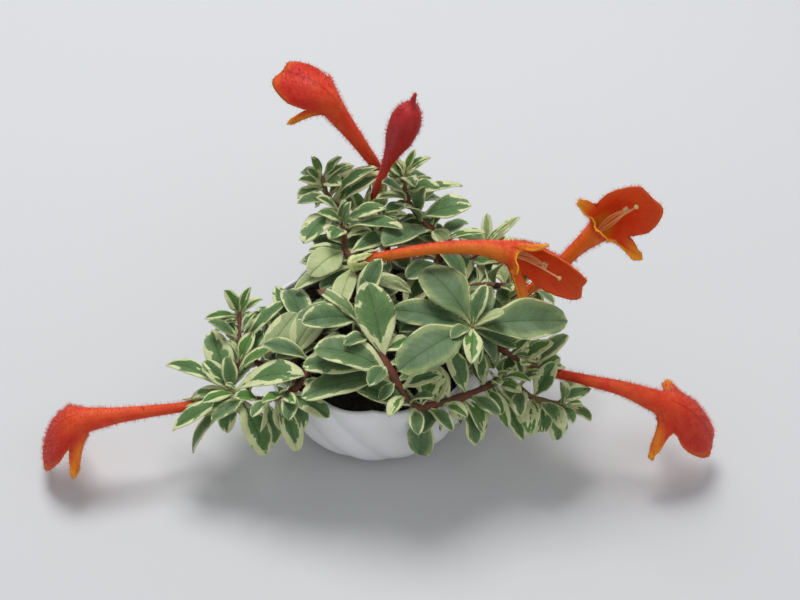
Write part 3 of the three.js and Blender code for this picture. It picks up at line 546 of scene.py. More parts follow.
def close_up(piece, closed=True):
    """Merges a wrapped sheet's seam and poles, and faces it outwards where nothing is left open."""
    only(piece)
    bpy.ops.object.mode_set(mode="EDIT")
    bpy.ops.mesh.select_all(action="SELECT")
    bpy.ops.mesh.remove_doubles(threshold=1e-6)
    if closed:
        bpy.ops.mesh.normals_make_consistent(inside=False)
    bpy.ops.object.mode_set(mode="OBJECT")
    return piece


def give(piece, *materials):
    """Puts materials in a piece's slots."""
    piece.data.materials.clear()
    for material in materials:
        piece.data.materials.append(material)
    return piece


def thicken(piece, thickness, **settings):
    """Gives a sheet a thickness below or inside it, with the next material there."""
    only(piece)
    wall = piece.modifiers.new("wall", "SOLIDIFY")
    wall.thickness = thickness
    wall.offset = -1
    wall.material_offset = 1
    for key, value in settings.items():
        setattr(wall, key, value)
    bpy.ops.object.modifier_apply(modifier=wall.name)
    return piece


def joined(name, pieces):
    """One piece made of several."""
    only(*pieces)
    bpy.ops.object.join()
    return named(name, pieces[0])


def shade(piece, degrees=180):
    """Smooth shading, with edges sharper than the angle left crisp."""
    only(piece)
    if degrees < 180:
        bpy.ops.object.shade_smooth_by_angle(angle=math.radians(degrees))
    else:
        bpy.ops.object.shade_smooth()
    return piece


def settle(piece, slot, *nodes):
    """Fastens a finished piece to the plant, and lets it stand for the frame's nodes."""
    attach(piece, "root")
    if nodes:
        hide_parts(*nodes)
    return piece


def tube(name, stations, radii, around, rows):
    """A closed tube along the curve through the stations. Radii is a table or a function."""
    radius = radii if callable(radii) else lambda t: smooth_value(radii, t)

    def place(u, v):
        levels, level_of = np.unique(np.round(v * rows).astype(int), return_inverse=True)
        t = levels / rows
        headings = heading_at(stations, np.clip(t, 0.001, 0.999))
        across = np.cross(headings[0], (0.3, 0.2, 1))
        sides = []
        for heading in headings:
            across = unit(across - heading * across.dot(heading))
            sides.append(across)
        ups = np.cross(headings, sides)
        reach = np.where((levels == 0) | (levels == rows), 0, radius(t))[level_of, None]
        angle = (2 * math.pi * u)[:, None]
        ring = np.array(sides)[level_of] * np.cos(angle) + ups[level_of] * np.sin(angle)
        return curve_at(stations, t)[level_of] + reach * ring

    return shade(close_up(laid_sheet(name, around, rows, place)))


def blade_points(u, t, start, tip, half, hint, roll=0.0, arch=0.0, keel=0.0, ripple=0.0, groove=0.0):
    """A blade's surface: it arches from start to tip, its edges are raised and waved, its rib sunk."""
    chord = tip - start
    length = np.linalg.norm(chord)
    along = chord / length
    face = unit(hint - along * along.dot(hint))
    face = face * math.cos(roll) + np.cross(along, face) * math.sin(roll)
    side = np.cross(along, face)
    lift = 4 * arch * length
    t = t[:, None]
    middle = start + chord * t + face * lift * t * (1 - t)
    slope = unit(along * length + face * lift * (1 - 2 * t))
    up = np.cross(side, slope)
    across = 2 * u - 1
    rise = keel * half * np.abs(across) ** 1.3 - across * ripple
    rise = rise - groove * np.exp(-((across * half / 0.8) ** 2))
    return middle + side * (across * half)[:, None] + up * rise[:, None]


def scattered(name, blank, places, directions, sizes, random):
    """One mesh of many copies of a small blank, each with its place, direction, size and own turn."""
    spins = random.uniform(0, 2 * math.pi, len(places))
    shape = places_of(blank)
    faces = np.array([list(face.vertices) for face in blank.data.polygons])
    bpy.data.objects.remove(blank)
    side = unit(np.cross(directions, (0.31, 0.17, 0.93)))
    other = np.cross(directions, side)
    turn = np.cos(spins)[:, None] * side + np.sin(spins)[:, None] * other
    frames = np.stack([turn, np.cross(directions, turn), directions], axis=1)
    points = np.einsum("pk,nk,nkc->npc", shape, sizes, frames) + places[:, None, :]
    corners = faces + len(shape) * np.arange(len(places))[:, None, None]
    mesh = bpy.data.meshes.new(name)
    mesh.from_pydata(points.reshape(-1, 3) * MM, [], corners.reshape(-1, faces.shape[1]).tolist())
    mesh.update()
    return placed(bpy.data.objects.new(name, mesh))


# Materials


def srgb(red, green, blue):
    """A colour of 0 to 255 as the linear values that Blender's shaders work in."""
    shares = [value / 255 for value in (red, green, blue)]
    return tuple(v / 12.92 if v <= 0.04045 else ((v + 0.055) / 1.055) ** 2.4 for v in shares)


class Amount:
    """A value in a node tree. Sums with it add the Math nodes that work them out."""

    def __init__(self, recipe, socket):
        self.recipe = recipe
        self.socket = socket

    def __add__(self, other):
        return self.recipe.math("ADD", self, other)

    def __sub__(self, other):
        return self.recipe.math("SUBTRACT", self, other)

    def __rsub__(self, other):
        return self.recipe.math("SUBTRACT", other, self)

    def __mul__(self, other):
        return self.recipe.math("MULTIPLY", self, other)

    def __abs__(self):
        return self.recipe.math("ABSOLUTE", self)


def spaced(values):
    """Values by the names of their sockets. A low line in a name stands for a space."""
    return [(name.replace("_", " "), value) for name, value in values.items()]


class Recipe:
    """Adds nodes to one node tree, so that a pattern can be written as plain sums."""

    def __init__(self, tree):
        self.tree = tree

    def node(self, kind, values=(), **settings):
        """A new node with its settings, and with its inputs fed."""
        added = self.tree.nodes.new(kind)
        for key, value in settings.items():
            setattr(added, key, value)
        self.feed(added, values)
        return added

    def feed(self, node, values):
        """Links amounts to a node's inputs, and sets plain numbers and colours on them."""
        for key, value in values:
            socket = node.inputs[key]
            if isinstance(value, Amount):
                self.tree.links.new(value.socket, socket)
            else:
                socket.default_value = (*value, 1) if socket.type == "RGBA" else value

    def results(self, kind, values=(), **settings):
        """What a new node puts out."""
        return [Amount(self, socket) for socket in self.node(kind, values, **settings).outputs]

    def math(self, operation, *values):
        return self.results("ShaderNodeMath", enumerate(values), operation=operation)[0]

    def larger(self, first, second):
        return self.math("MAXIMUM", first, second)

    def rise(self, value, low, high):
        """Rises smoothly from 0 to 1 as the value goes from low to high."""
        values = [("Value", value), ("From Min", low), ("From Max", high)]
        return self.results("ShaderNodeMapRange", values, interpolation_type="SMOOTHSTEP")[0]

    def fall(self, value, low, high):
        """Falls smoothly from 1 to 0 as the value goes from low to high."""
        return 1.0 - self.rise(value, low, high)

    def noise(self, place, scale, detail, rough=0.55):
        values = [("Vector", place), ("Scale", scale), ("Detail", detail), ("Roughness", rough)]
        return self.results("ShaderNodeTexNoise", values)[0]

    def vector(self, *parts):
        return self.results("ShaderNodeCombineXYZ", enumerate(parts))[0]

    def parts(self, value):
        """The three parts of a vector."""
        return self.results("ShaderNodeSeparateXYZ", [(0, value)])

    def layered(self, color, *layers):
        """A colour with others laid over it in turn, each by its share."""
        for share, over in layers:
            values = [(0, share), (6, color), (7, over)]
            color = self.results("ShaderNodeMix", values, data_type="RGBA")[2]
        return color

    def group(self, name, build, **values):
        """Places a node group, which is built at its first use, with its values by name."""
        tree = bpy.data.node_groups.get(name) or build(name)
        return self.results("ShaderNodeGroup", spaced(values), node_tree=tree)


def new_group(name, inputs, outputs):
    """A node group, with its recipe and what is given to it. Sockets are listed by kind."""
    tree = bpy.data.node_groups.new(name, "ShaderNodeTree")
    for kinds, way in ((inputs, "INPUT"), (outputs, "OUTPUT")):
        for kind, sockets in kinds.items():
            for socket in sockets:
                tree.interface.new_socket(socket, in_out=way, socket_type=f"NodeSocket{kind}")
    recipe = Recipe(tree)
    count = sum(len(sockets) for sockets in inputs.values())
    return tree, recipe, recipe.results("NodeGroupInput")[:count]


def mottle_group(name):
    """Cloudy and fine unevenness that every finish here uses."""
    inputs = {"Vector": ["Place"], "Float": ["Cloud Scale", "Grain Scale"]}
    tree, recipe, given = new_group(name, inputs, {"Float": ["Cloud", "Grain"]})
    place, cloud_scale, grain_scale = given
    cloud = recipe.rise(recipe.noise(place, cloud_scale, 2.0), 0.3, 0.7)
    grain = recipe.noise(place, grain_scale, 3.0, 0.65)
    recipe.node("NodeGroupOutput", [("Cloud", cloud), ("Grain", grain)])
    return tree


def variegation_group(name):
    """A leaf's pattern: cream border with streaks along the veins, paler zone, green middle, midrib."""
    shares = ["Across", "Half Width", "From Midrib", "Vein Place", "Border", "Youth", "Seed", "Paleness"]
    inputs = {"Float": shares, "Color": ["Middle", "Zone", "Young", "Cream"]}
    tree, recipe, given = new_group(name, inputs, {"Color": ["Color"], "Float": ["Height"]})
    across, half_width, from_midrib, along, border, youth, number, paleness = given[:8]
    middle, zone_green, young, cream = given[8:]
    seed = number * 37.0
    streak_place = recipe.vector(along, across * 1.1, seed)
    streak = recipe.noise(streak_place, 1.3, 3.0, 0.6)
    fine = recipe.noise(streak_place, 4.5, 2.0, 0.6)
    # The border is broad along some stretches of the edge and almost gone along others
    stretch = recipe.noise(recipe.vector(along * 0.3, across, seed + 5.0), 1.1, 1.0, 0.5)
    stretch = recipe.rise(stretch, 0.36, 0.64)
    jagged = stretch * 2.1 + (fine - 0.5) * 0.9 + (streak - 0.5) * 2.6 + 0.1
    from_margin = half_width - from_midrib
    edge = from_margin - recipe.larger(border * jagged, border * 0.16)
    # The zone between border and middle, in blotches that follow the veins too
    blotch = recipe.noise(recipe.vector(along * 0.8, across * 2.2, seed + 9.0), 1.6, 3.0, 0.6)
    zone = recipe.fall(edge - (blotch * 0.8 - 0.2), -0.03, 0.08)
    cloud = recipe.rise(recipe.noise(streak_place, 0.55, 1.0, 0.5), 0.36, 0.64)
    # Some stretches turn yellow green towards the edge, without a line
    soft = recipe.fall(from_margin, 0.0, 0.5) * (stretch * 0.7 + 0.15)
    # A sunk midrib and fainter side veins that sweep forwards, a little darker than the skin
    rib = recipe.fall(from_midrib, 0.01, 0.06)
    vein = recipe.fall(recipe.math("PINGPONG", along, 0.5), 0.02, 0.13)
    color = recipe.layered(
        middle,
        (zone * 0.7, zone_green),
        (cloud * 0.35, zone_green),
        (soft, srgb(160, 170, 98)),
        (youth, young),
        (paleness, recipe.layered(cream, (0.3, young))),
        (recipe.larger(rib * 0.42, vein * 0.05), srgb(58, 82, 44)),
        (recipe.fall(edge, -0.06, 0.0), cream),
    )
    height = 1.0 - recipe.larger(rib, vein * 0.35)
    recipe.node("NodeGroupOutput", [("Color", color), ("Height", height)])
    return tree


class Finish(Recipe):
    """A material with one Principled shader, fed by named values."""

    def __init__(self, name):
        self.material = bpy.data.materials.new(name)
        self.material.use_nodes = True
        super().__init__(self.material.node_tree)
        self.tree.nodes.clear()
        self.shader = self.node("ShaderNodeBsdfPrincipled")
        output = self.node("ShaderNodeOutputMaterial")
        self.tree.links.new(self.shader.outputs[0], output.inputs[0])

    def place(self):
        """Places in the object's own metres."""
        return Amount(self, self.node("ShaderNodeTexCoord").outputs["Object"])

    def sheet(self):
        """Shares across and along the piece's own sheet."""
        return self.parts(self.results("ShaderNodeUVMap", uv_map="UVMap")[0])[:2]

    def attribute(self, name):
        """Four values kept on the piece's points."""
        _, vector, _, alpha = self.results("ShaderNodeAttribute", attribute_name=name)
        return [*self.parts(vector), alpha]

    def mottle(self, cloud_scale, grain_scale):
        """The cloud and the grain of this finish, by how many fit in a metre."""
        scales = {"Cloud_Scale": cloud_scale, "Grain_Scale": grain_scale}
        return self.group("mottle", mottle_group, Place=self.place(), **scales)

    def finished(self, color, roughness, relief=(), **others):
        """The material. Relief is its height, its depth in millimetres and its strength."""
        if relief:
            height, depth, strength = relief
            values = [("Strength", strength), ("Distance", depth * MM), ("Height", height)]
            others["Normal"] = self.results("ShaderNodeBump", values)[0]
        self.feed(self.shader, spaced({"Base_Color": color, "Roughness": roughness, **others}))
        return self.material


def leaf_finish(name, wanted, underside):
    """Leaf skin. The underside is paler and duller, with a fainter pattern."""
    skin = Finish(name)
    border, youth, seed, paleness = skin.attribute("leaf_kind")
    half_width, from_midrib, vein_place, brown = skin.attribute("leaf_place")
    cloud, grain = skin.mottle(160.0, 1300.0)
    color, height = skin.group(
        "variegation", variegation_group, Across=skin.sheet()[0] * 2.0 - 1.0, Half_Width=half_width,
        From_Midrib=from_midrib, Vein_Place=vein_place, Border=border, Youth=youth, Seed=seed,
        Paleness=paleness, Middle=wanted.leaf_middle, Zone=wanted.leaf_zone, Young=wanted.leaf_young,
        Cream=wanted.leaf_cream,
    )
    withered = skin.rise(brown + (grain * 0.5 - 0.25), 0.45, 0.6)
    color = skin.layered(color, (cloud * 0.16, srgb(66, 98, 60)), (withered, srgb(112, 74, 46)))
    if underside:
        color = skin.layered(color, (0.4, srgb(160, 178, 128)))
    return skin.finished(
        color, grain * 0.25 + (0.6 if underside else 0.42), (grain * 0.5 + height, 0.25, 0.7),
        Specular_IOR_Level=0.35, Sheen_Weight=0.12, Sheen_Roughness=0.5, Subsurface_Weight=0.08,
        Subsurface_Scale=0.001, Subsurface_Radius=(0.6, 1.0, 0.3),
    )


def stem_finish(wanted):
    """Reddish brown bark, greener towards the young ends."""
    bark = Finish("stem_bark")
    cloud, grain = bark.mottle(220.0, 1500.0)
    young = bark.rise(bark.sheet()[1], 0.72, 1.0)
    color = bark.layered(wanted.stem, (cloud, srgb(92, 60, 40)), (young * 0.6, srgb(128, 128, 66)))
    return bark.finished(color, grain * 0.3 + 0.5, (grain, 0.3, 0.8))


def hair_finish(name, color, other):
    """Fine hairs, a little uneven in colour."""
    hair = Finish(name)
    cloud, _ = hair.mottle(300.0, 900.0)
    return hair.finished(hair.layered(color, (cloud, other)), 0.55, Specular_IOR_Level=0.3)


def petal_outside_finish(wanted):
    """Scarlet skin: an orange underside to the tube, a crimson hood, and yellow edges to the lobes."""
    petal = Finish("petal_outside")
    around, along = petal.sheet()
    cloud, grain = petal.mottle(120.0, 1100.0)
    from_below = abs(around - 0.5)
    under_tube = petal.fall(from_below, 0.04, 0.22) * petal.fall(along, 0.5, 0.72)
    hood = petal.rise(from_below, 0.27, 0.34) * petal.rise(along, 0.6, 0.95)
    lobes = petal.fall(from_below, 0.26, 0.3) * petal.rise(along, 0.68, 0.9)
    edge = petal.rise(along, 0.955, 1.0)
    keel = petal.rise(from_below, 0.486, 0.499) * petal.rise(along, 0.55, 0.7)
    ribs = petal.noise(petal.vector(around * 60.0, along, 0.0), 1.0, 2.0)
    color = petal.layered(
        wanted.petal,
        (cloud, srgb(236, 94, 44)),
        (under_tube * 0.45, wanted.petal_yellow),
        (hood * 0.75, wanted.hood),
        (lobes * 0.48, wanted.petal_yellow),
        (edge * lobes * 0.9, wanted.petal_yellow),
        (edge * 0.25, wanted.petal_yellow),
        (keel * 0.6, srgb(160, 22, 28)),
        (petal.rise(ribs, 0.5, 0.7) * 0.2, srgb(184, 34, 30)),
    )
    relief = (ribs * 0.8 + grain, 0.25, 0.7)
    return petal.finished(color, grain * 0.25 + 0.38, relief, Specular_IOR_Level=0.22, **PETAL_GLOW)


def petal_inside_finish(wanted):
    """Yellow throat and lobes, and a red hood with a paler band near its edge."""
    petal = Finish("petal_inside")
    around, along = petal.sheet()
    cloud, grain = petal.mottle(140.0, 1100.0)
    hood = petal.rise(abs(around - 0.5), 0.26, 0.31)
    veins = petal.noise(petal.vector(around * 70.0, along, 3.0), 1.0, 2.0)
    color = petal.layered(
        srgb(240, 84, 34),
        (cloud, srgb(248, 122, 44)),
        (hood * petal.rise(along, 0.64, 0.78) * 0.6, wanted.hood_inside),
        (hood * petal.rise(along, 0.88, 0.97) * 0.7, srgb(240, 92, 48)),
        (petal.rise(veins, 0.52, 0.68) * 0.2, srgb(178, 30, 26)),
        ((1.0 - hood) * petal.rise(along, 0.8, 1.0) * 0.8, wanted.petal_yellow),
        (petal.fall(along, 0.6, 0.72), wanted.throat),
    )
    relief = (grain + veins, 0.2, 0.6)
    return petal.finished(color, grain * 0.2 + 0.35, relief, Specular_IOR_Level=0.25, **PETAL_GLOW)


def bud_finish(wanted):
    """Crimson skin, scarlet towards the stalk, with darker streaks along it."""
    skin = Finish("bud_skin")
    around, along = skin.sheet()
    cloud, grain = skin.mottle(150.0, 1100.0)
    streaks = skin.noise(skin.vector(around * 40.0, along, 0.0), 1.0, 2.0)
    color = skin.layered(
        wanted.hood,
        (cloud, srgb(188, 34, 40)),
        (skin.fall(along, 0.15, 0.5) * 0.75, wanted.petal),
        (skin.rise(streaks, 0.5, 0.7) * 0.3, srgb(126, 12, 26)),
    )
    return skin.finished(color, grain * 0.25 + 0.38, (grain + streaks, 0.25, 0.7))


def calyx_finish(wanted):
    """Pale cream green sepals with greener middles and reddish tips."""
    skin = Finish("calyx_green")
    across, along = skin.sheet()
    cloud, grain = skin.mottle(260.0, 1400.0)
    middle = skin.fall(abs(across - 0.5), 0.06, 0.34) * (cloud * 0.5 + 0.4)
    tip = skin.rise(along, 0.9, 1.0) * 0.4
    color = skin.layered(wanted.sepal, (middle, srgb(132, 158, 74)), (tip, srgb(196, 120, 84)))
    return skin.finished(color, grain * 0.25 + 0.5, (grain, 0.2, 0.6))


def thread_finish(name, color, other):
    """Smooth pale threads and heads of the stamens and the style."""
    skin = Finish(name)
    cloud, grain = skin.mottle(400.0, 2200.0)
    return skin.finished(skin.layered(color, (cloud, other)), grain * 0.25 + 0.4, (grain, 0.1, 0.5))


def pot_finish(wanted):
    """White satin ware with faint clouds, fine speckle, and dust where water dries at foot and rim."""
    ware = Finish("white_satin_ware")
    height = ware.parts(ware.place())[2]
    cloud, grain = ware.mottle(45.0, 900.0)
    top = POT_HEIGHT * MM
    foot = ware.fall(height, 0.02 * top, 0.22 * top)
    dust = ware.larger(foot, ware.rise(height, 0.9 * top, 0.99 * top)) * grain
    speck = ware.rise(grain, 0.66, 0.72)
    color = ware.layered(
        wanted.pot,
        (cloud * 0.3, srgb(222, 222, 218)),
        (dust * 0.35, srgb(186, 178, 164)),
        (speck * 0.25, srgb(190, 188, 182)),
    )
    return ware.finished(color, cloud * 0.1 + (dust * 0.4 + 0.28), (cloud, 0.15, 0.25))


def soil_finish():
    """Near black potting mix with brown fibres."""
    mix = Finish("potting_mix_dark")
    cloud, grain = mix.mottle(350.0, 1200.0)
    fibres = mix.rise(grain, 0.6, 0.7) * 0.6
    color = mix.layered(srgb(24, 20, 17), (cloud, srgb(52, 40, 30)), (fibres, srgb(88, 70, 52)))
    return mix.finished(color, 0.95, (grain, 0.8, 1.0))


def floor_finish(wanted):
    """A plain pale matt floor."""
    floor = Finish("pale_floor")
    cloud, _ = floor.mottle(6.0, 60.0)
    color = floor.layered(wanted.floor, (cloud * 0.12, srgb(208, 208, 209)))
    return floor.finished(color, 0.9, Specular_IOR_Level=0.1)


# Bowl and potting mix


def fluted(height, radius, angle):
    """The flutes: sharp grooves between rounded ribs, none at the foot, that turn as they climb."""
    strength = np.where(radius < PLAIN_RADIUS, 0, np.minimum(1, height / PLAIN_HEIGHT))
    reach = radius - FLUTE_DEPTH * strength * (1 - np.abs(np.sin(FLUTES * angle / 2)))
    turned = angle + FLUTE_TURN * height / POT_HEIGHT
    return np.stack([reach * np.cos(turned), reach * np.sin(turned), height], axis=-1)


def bowl_profile():
    """The bowl's section from the middle of its foot, up the outside, over the rim and down inside."""
    rim = POT_WALL / 2
    climb = np.linspace(0, POT_HEIGHT - rim, 26)
    radii = smooth_value(POT_PROFILE, climb)
    turn = math.pi * np.arange(1, 8) / 8
    over = list(zip(POT_HEIGHT - rim + rim * np.sin(turn), POT_RADIUS - rim + rim * np.cos(turn)))
    deep = climb > POT_FLOOR + 1
    inside = list(zip(climb[deep], radii[deep] - POT_WALL))
    return np.array(FOOT_RING + list(zip(climb, radii)) + over + inside[::-1] + FLOOR_INSIDE)


def build_pot(wanted):
    profile = bowl_profile()
    rows = len(profile) - 1

    def place(u, v):
        return fluted(*profile[np.round(v * rows).astype(int)].T, 2 * math.pi * u)

    pot = close_up(laid_sheet("fluted_bowl", 12 * FLUTES, rows, place))
    give(shade(pot, 32), pot_finish(wanted))
    settle(pot, "pot", "pot")


def build_soil():
    edge = POT_RADIUS - POT_WALL - SOIL_GAP
    random = np.random.default_rng(SOIL_SEED)
    bumps = random.uniform(-edge, edge, (LUMPS, 2))
    heights = random.uniform(*LUMP_HEIGHTS, LUMPS)

    def place(u, v):
        angle = 2 * math.pi * u
        share = np.minimum(1, v / TOP_ROWS)
        x, y = edge * share * np.cos(angle), edge * share * np.sin(angle)
        away = np.hypot(x[:, None] - bumps[:, 0], y[:, None] - bumps[:, 1])
        lumps = (heights * np.exp(-((away / LUMP_REACH) ** 2))).sum(axis=1)
        height = SOIL_TOP + SOIL_MOUND * (1 - share**2) + lumps * (1 - share**8)
        below = np.clip((v - TOP_ROWS) / (1 - TOP_ROWS), 0, 1)
        closed = np.where(below > 0.99, 0, 1 - 0.12 * below)
        return np.stack([x * closed, y * closed, height - SOIL_DEPTH * below], axis=-1)

    body = shade(close_up(laid_sheet("potting_mix_body", 72, 40, place)))
    crumb = started(bpy.ops.mesh.primitive_ico_sphere_add, subdivisions=1, radius=1)
    rough = unit(places_of(crumb)) * random.uniform(0.7, 1.15, (len(crumb.data.vertices), 1))
    crumb.data.vertices.foreach_set("co", rough.ravel())
    u = random.uniform(0, 2 * math.pi, CRUMBS) / (2 * math.pi)
    v = np.round(np.sqrt(random.uniform(0, 0.98, CRUMBS)) * TOP_ROWS, 3)
    sizes = random.uniform(*CRUMB_RADII, (CRUMBS, 1)) * random.uniform(0.6, 1.1, (CRUMBS, 3))
    directions = unit(random.normal(size=(CRUMBS, 3)))
    crumbs = scattered("crumbs", crumb, place(u, v), directions, sizes, random)
    soil = give(joined("potting_mix_loose", [body, crumbs]), soil_finish())
    settle(soil, "soil", "potting_mix")


# Leafy shoots


class Stem:
    """The stem of a shoot or of a twig: its line, and the numbers that its leaves draw."""

    def __init__(self, plan, seed, fork=None):
        self.rooted = fork is None
        start = [fork]
        if self.rooted:
            start = [np.array((*plan["root"], depth), float) for depth in ROOT_DEPTHS]
        self.first = len(start) if self.rooted else 0
        self.line = start + [seen(place) for place in plan["path"]]
        self.last = len(plan["path"]) - END_REACH
        self.rows = plan["leaves"]
        self.seed = seed
        self.random = dice(seed)

    def share(self, station):
        """How far along the line a station is."""
        return (station + self.first) / (len(self.line) - 1)

    def at(self, station):
        return curve_at(self.line, self.share(station))

    def forward(self, station):
        return heading_at(self.line, self.share(station))

    def wood(self):
        """The stem's tube, thinner towards its end and swollen where leaves of the table leave it."""
        start, end = STEM_RADII if self.rooted else TWIG_RADII
        swellings = sorted({self.share(min(row[0], self.last)) for row in self.rows})

        def radius(t):
            plain = start + (end - start) * t
            for place in swellings:
                plain = plain + SWELLING * np.exp(-(((t - place) / 0.02) ** 2))
            return plain * (1 - 0.45 * step_between(0.97, 1, t))

        return tube("stem", self.line, radius, 10, max(14, 9 * (len(self.line) - 1)))


def stems_of(plan, seed, fork=None):
    """The stem of a shoot and those of its twigs."""
    stem = Stem(plan, seed, fork)
    stems = [stem]
    for i, twig in enumerate(plan.get("twigs", [])):
        stems += stems_of(twig, seed + TWIG_SEED_STEP * (i + 1), stem.at(twig["from"]))
    return stems


def leaf_blank(name, across, along):
    """A flat leaf with its attributes and a thicker rib, to be copied for every leaf."""
    blank = flat_sheet(name, across, along)
    across, along, _ = places_of(blank).T + 0.5
    blank.data.attributes.new("leaf_kind", "FLOAT_COLOR", "POINT")
    blank.data.attributes.new("leaf_place", "FLOAT_COLOR", "POINT")
    rib = blank.vertex_groups.new(name="rib")
    middle = np.exp(-((np.abs(2 * across - 1) / 0.16) ** 2)) * (1 - 0.6 * along)
    for index, weight in enumerate(np.maximum(middle, 1 - step_between(0.06, 0.2, along))):
        rib.add([index], float(weight), "REPLACE")
    return blank


def leaf_half(t, widest_at, point, petiole):
    """Half the width of a leaf as a share, from its narrow foot to its rounded or pointed tip."""
    before = np.sin(math.pi / 2 * np.clip(t / widest_at, 0, 1)) ** 1.35
    after = np.clip(1 - ((t - widest_at) / (1 - widest_at)) ** 2, 0, 1) ** point
    return np.maximum(np.where(t < widest_at, before, after), petiole * (t < 0.5))


def one_leaf(blanks, stem, row, rank=0):
    """A leaf where a row of the table says, with its pattern's values, and the space it takes."""
    station, across, up, height, width, *kind = row
    kind = kind[0] if kind else "young" if width <= YOUNG_LEAF else "bordered"
    border, youth, pale = LEAF_KINDS[kind]
    tip = seen((across, up, height))
    axis = stem.at(min(station, stem.last) - PAIR_STEP * (rank // 2))
    start = axis + ROOT_SINK * unit(tip - axis)
    length = float(np.linalg.norm(tip - start))
    arch, roll, keel, phase = (next(stem.random) for _ in range(4))
    blank = blanks[width > BROAD_LEAF]
    piece = blank.copy()
    piece.data = blank.data.copy()
    placed(piece)
    u, t, _ = places_of(blank).T + 0.5
    # Across the leaf, the points lie closer together at the midrib
    u = 0.5 + 0.5 * np.sign(2 * u - 1) * np.abs(2 * u - 1) ** 1.15
    widest_at = SHORT_WIDEST_AT if length < SHORT_LEAF else WIDEST_AT
    half = leaf_half(t, widest_at, 0.55 + 0.2 * youth, PETIOLE_WIDTH / width)
    ripple = LEAF_WAVE * width * np.sin(3 * phase + 12 * t) * step_between(0.2, 0.4, t)
    lay(piece, blade_points(
        u, t, start, tip, half * width / 2, np.array((0, 0, 1.0)), 0.25 * roll, 0.11 + 0.05 * arch,
        0.14 + 0.1 * keel, ripple, 0.35 * step_between(0.04, 0.2, t),
    ))
    seed = 0.5 + 0.5 * roll
    from_midrib = np.abs(2 * u - 1) * half
    veins = t * length / VEIN_GAP - 1.3 * from_midrib * width / 14 + 20 * seed
    brown = 0.35 * step_between(0.94, 1, t) * (arch > 0.3)
    if kind == "withered":
        brown = step_between(0.8, 0.93, t) + 0.6 * step_between(0.7, 1, from_midrib)
    kinds = np.tile((border * (0.8 + 0.2 * keel), youth, seed, pale), len(t))
    spots = np.stack((half, from_midrib, veins, brown), axis=-1)
    piece.data.attributes["leaf_kind"].data.foreach_set("color", kinds)
    piece.data.attributes["leaf_place"].data.foreach_set("color", spots.ravel())
    return piece, space_of(piece, t > LEAF_FOOT)


def table_leaves(blanks, stem):
    """The leaves of the table. Each further pair at one station stands a little farther back."""
    used = {}
    leaves = []
    for row in stem.rows:
        rank = used.get(row[0], 0)
        used[row[0]] = rank + 1
        leaves.append(one_leaf(blanks, stem, row, rank))
    return leaves


def filling_rows(stem):
    """Rows of small leaves in crossed pairs along a stem, and of broader ones low over the soil."""
    random = np.random.default_rng(FILL_SEED + stem.seed)
    first = FIRST_STATION if stem.rooted else LOW_STATION
    low_stations = np.arange(first, LOW_STATION, GROUND_STEP)
    rows = []
    for step, station in enumerate([*low_stations, *np.arange(LOW_STATION, stem.last, FILL_STEP)]):
        low = station < LOW_STATION
        middle, forward = stem.at(station), stem.forward(station)
        side = unit(np.cross(forward, (0.2, 0.3, 1)))
        other = np.cross(forward, side)
        turn = math.pi / 2 * step + random.uniform(-0.5, 0.5)
        for way in (-1, 1):
            out = way * (side * math.cos(turn) + other * math.sin(turn))
            if low:
                out = out * (1, 1, 0.25)
            heading = unit(unit(out) + 0.35 * forward * (not low) + (0, 0, 0.12))
            length = random.uniform(*(GROUND_LENGTHS if low else FILL_LENGTHS))
            tip = middle + length * heading
            reach = math.hypot(tip[0], tip[1])
            if reach < POT_RADIUS + RIM_CLEARANCE:
                tip[2] = max(tip[2], POT_HEIGHT + RIM_CLEARANCE + 0.1 * reach)
            kind = "shaded" if low else random.choice(FILL_KINDS)
            width = length * random.uniform(0.36, 0.46)
            rows.append((station, tip[0], tip[1] + tip[2], tip[2], width, kind))
    return rows


def space_of(piece, within=None):
    """The box and the search tree of a piece's faces, or of those whose points are all within."""
    points = places_of(piece) / MM
    faces = [tuple(face.vertices) for face in piece.data.polygons]
    if within is not None:
        faces = [face for face in faces if within[list(face)].all()]
        points = np.where(within[:, None], points, points[within][0])
    return points.min(axis=0), points.max(axis=0), BVHTree.FromPolygons(points.tolist(), faces)


def is_clear(space, taken):
    """Whether a piece's space crosses none of those already taken."""
    low, high, tree = space
    for other_low, other_high, other_tree in taken:
        apart = (low > other_high).any() or (other_low > high).any()
        if not apart and tree.overlap(other_tree):
            return False
    return True


def fill_gaps(blanks, shoots):
    """Adds the small leaves that cross no leaf, stem, flower or bowl."""
    taken = [space_of(node) for name, node in frame["nodes"].items() if not name.startswith("leafy")]
    for _, woods, leaves in shoots:
        taken += [space_of(wood) for wood in woods]
        taken += [space for _, space in leaves]
    for stems, _, leaves in shoots:
        for stem in stems:
            for row in filling_rows(stem):
                leaf, space = one_leaf(blanks, stem, row)
                if is_clear(space, taken):
                    leaves.append((leaf, space))
                    taken.append(space)
                else:
                    bpy.data.objects.remove(leaf)


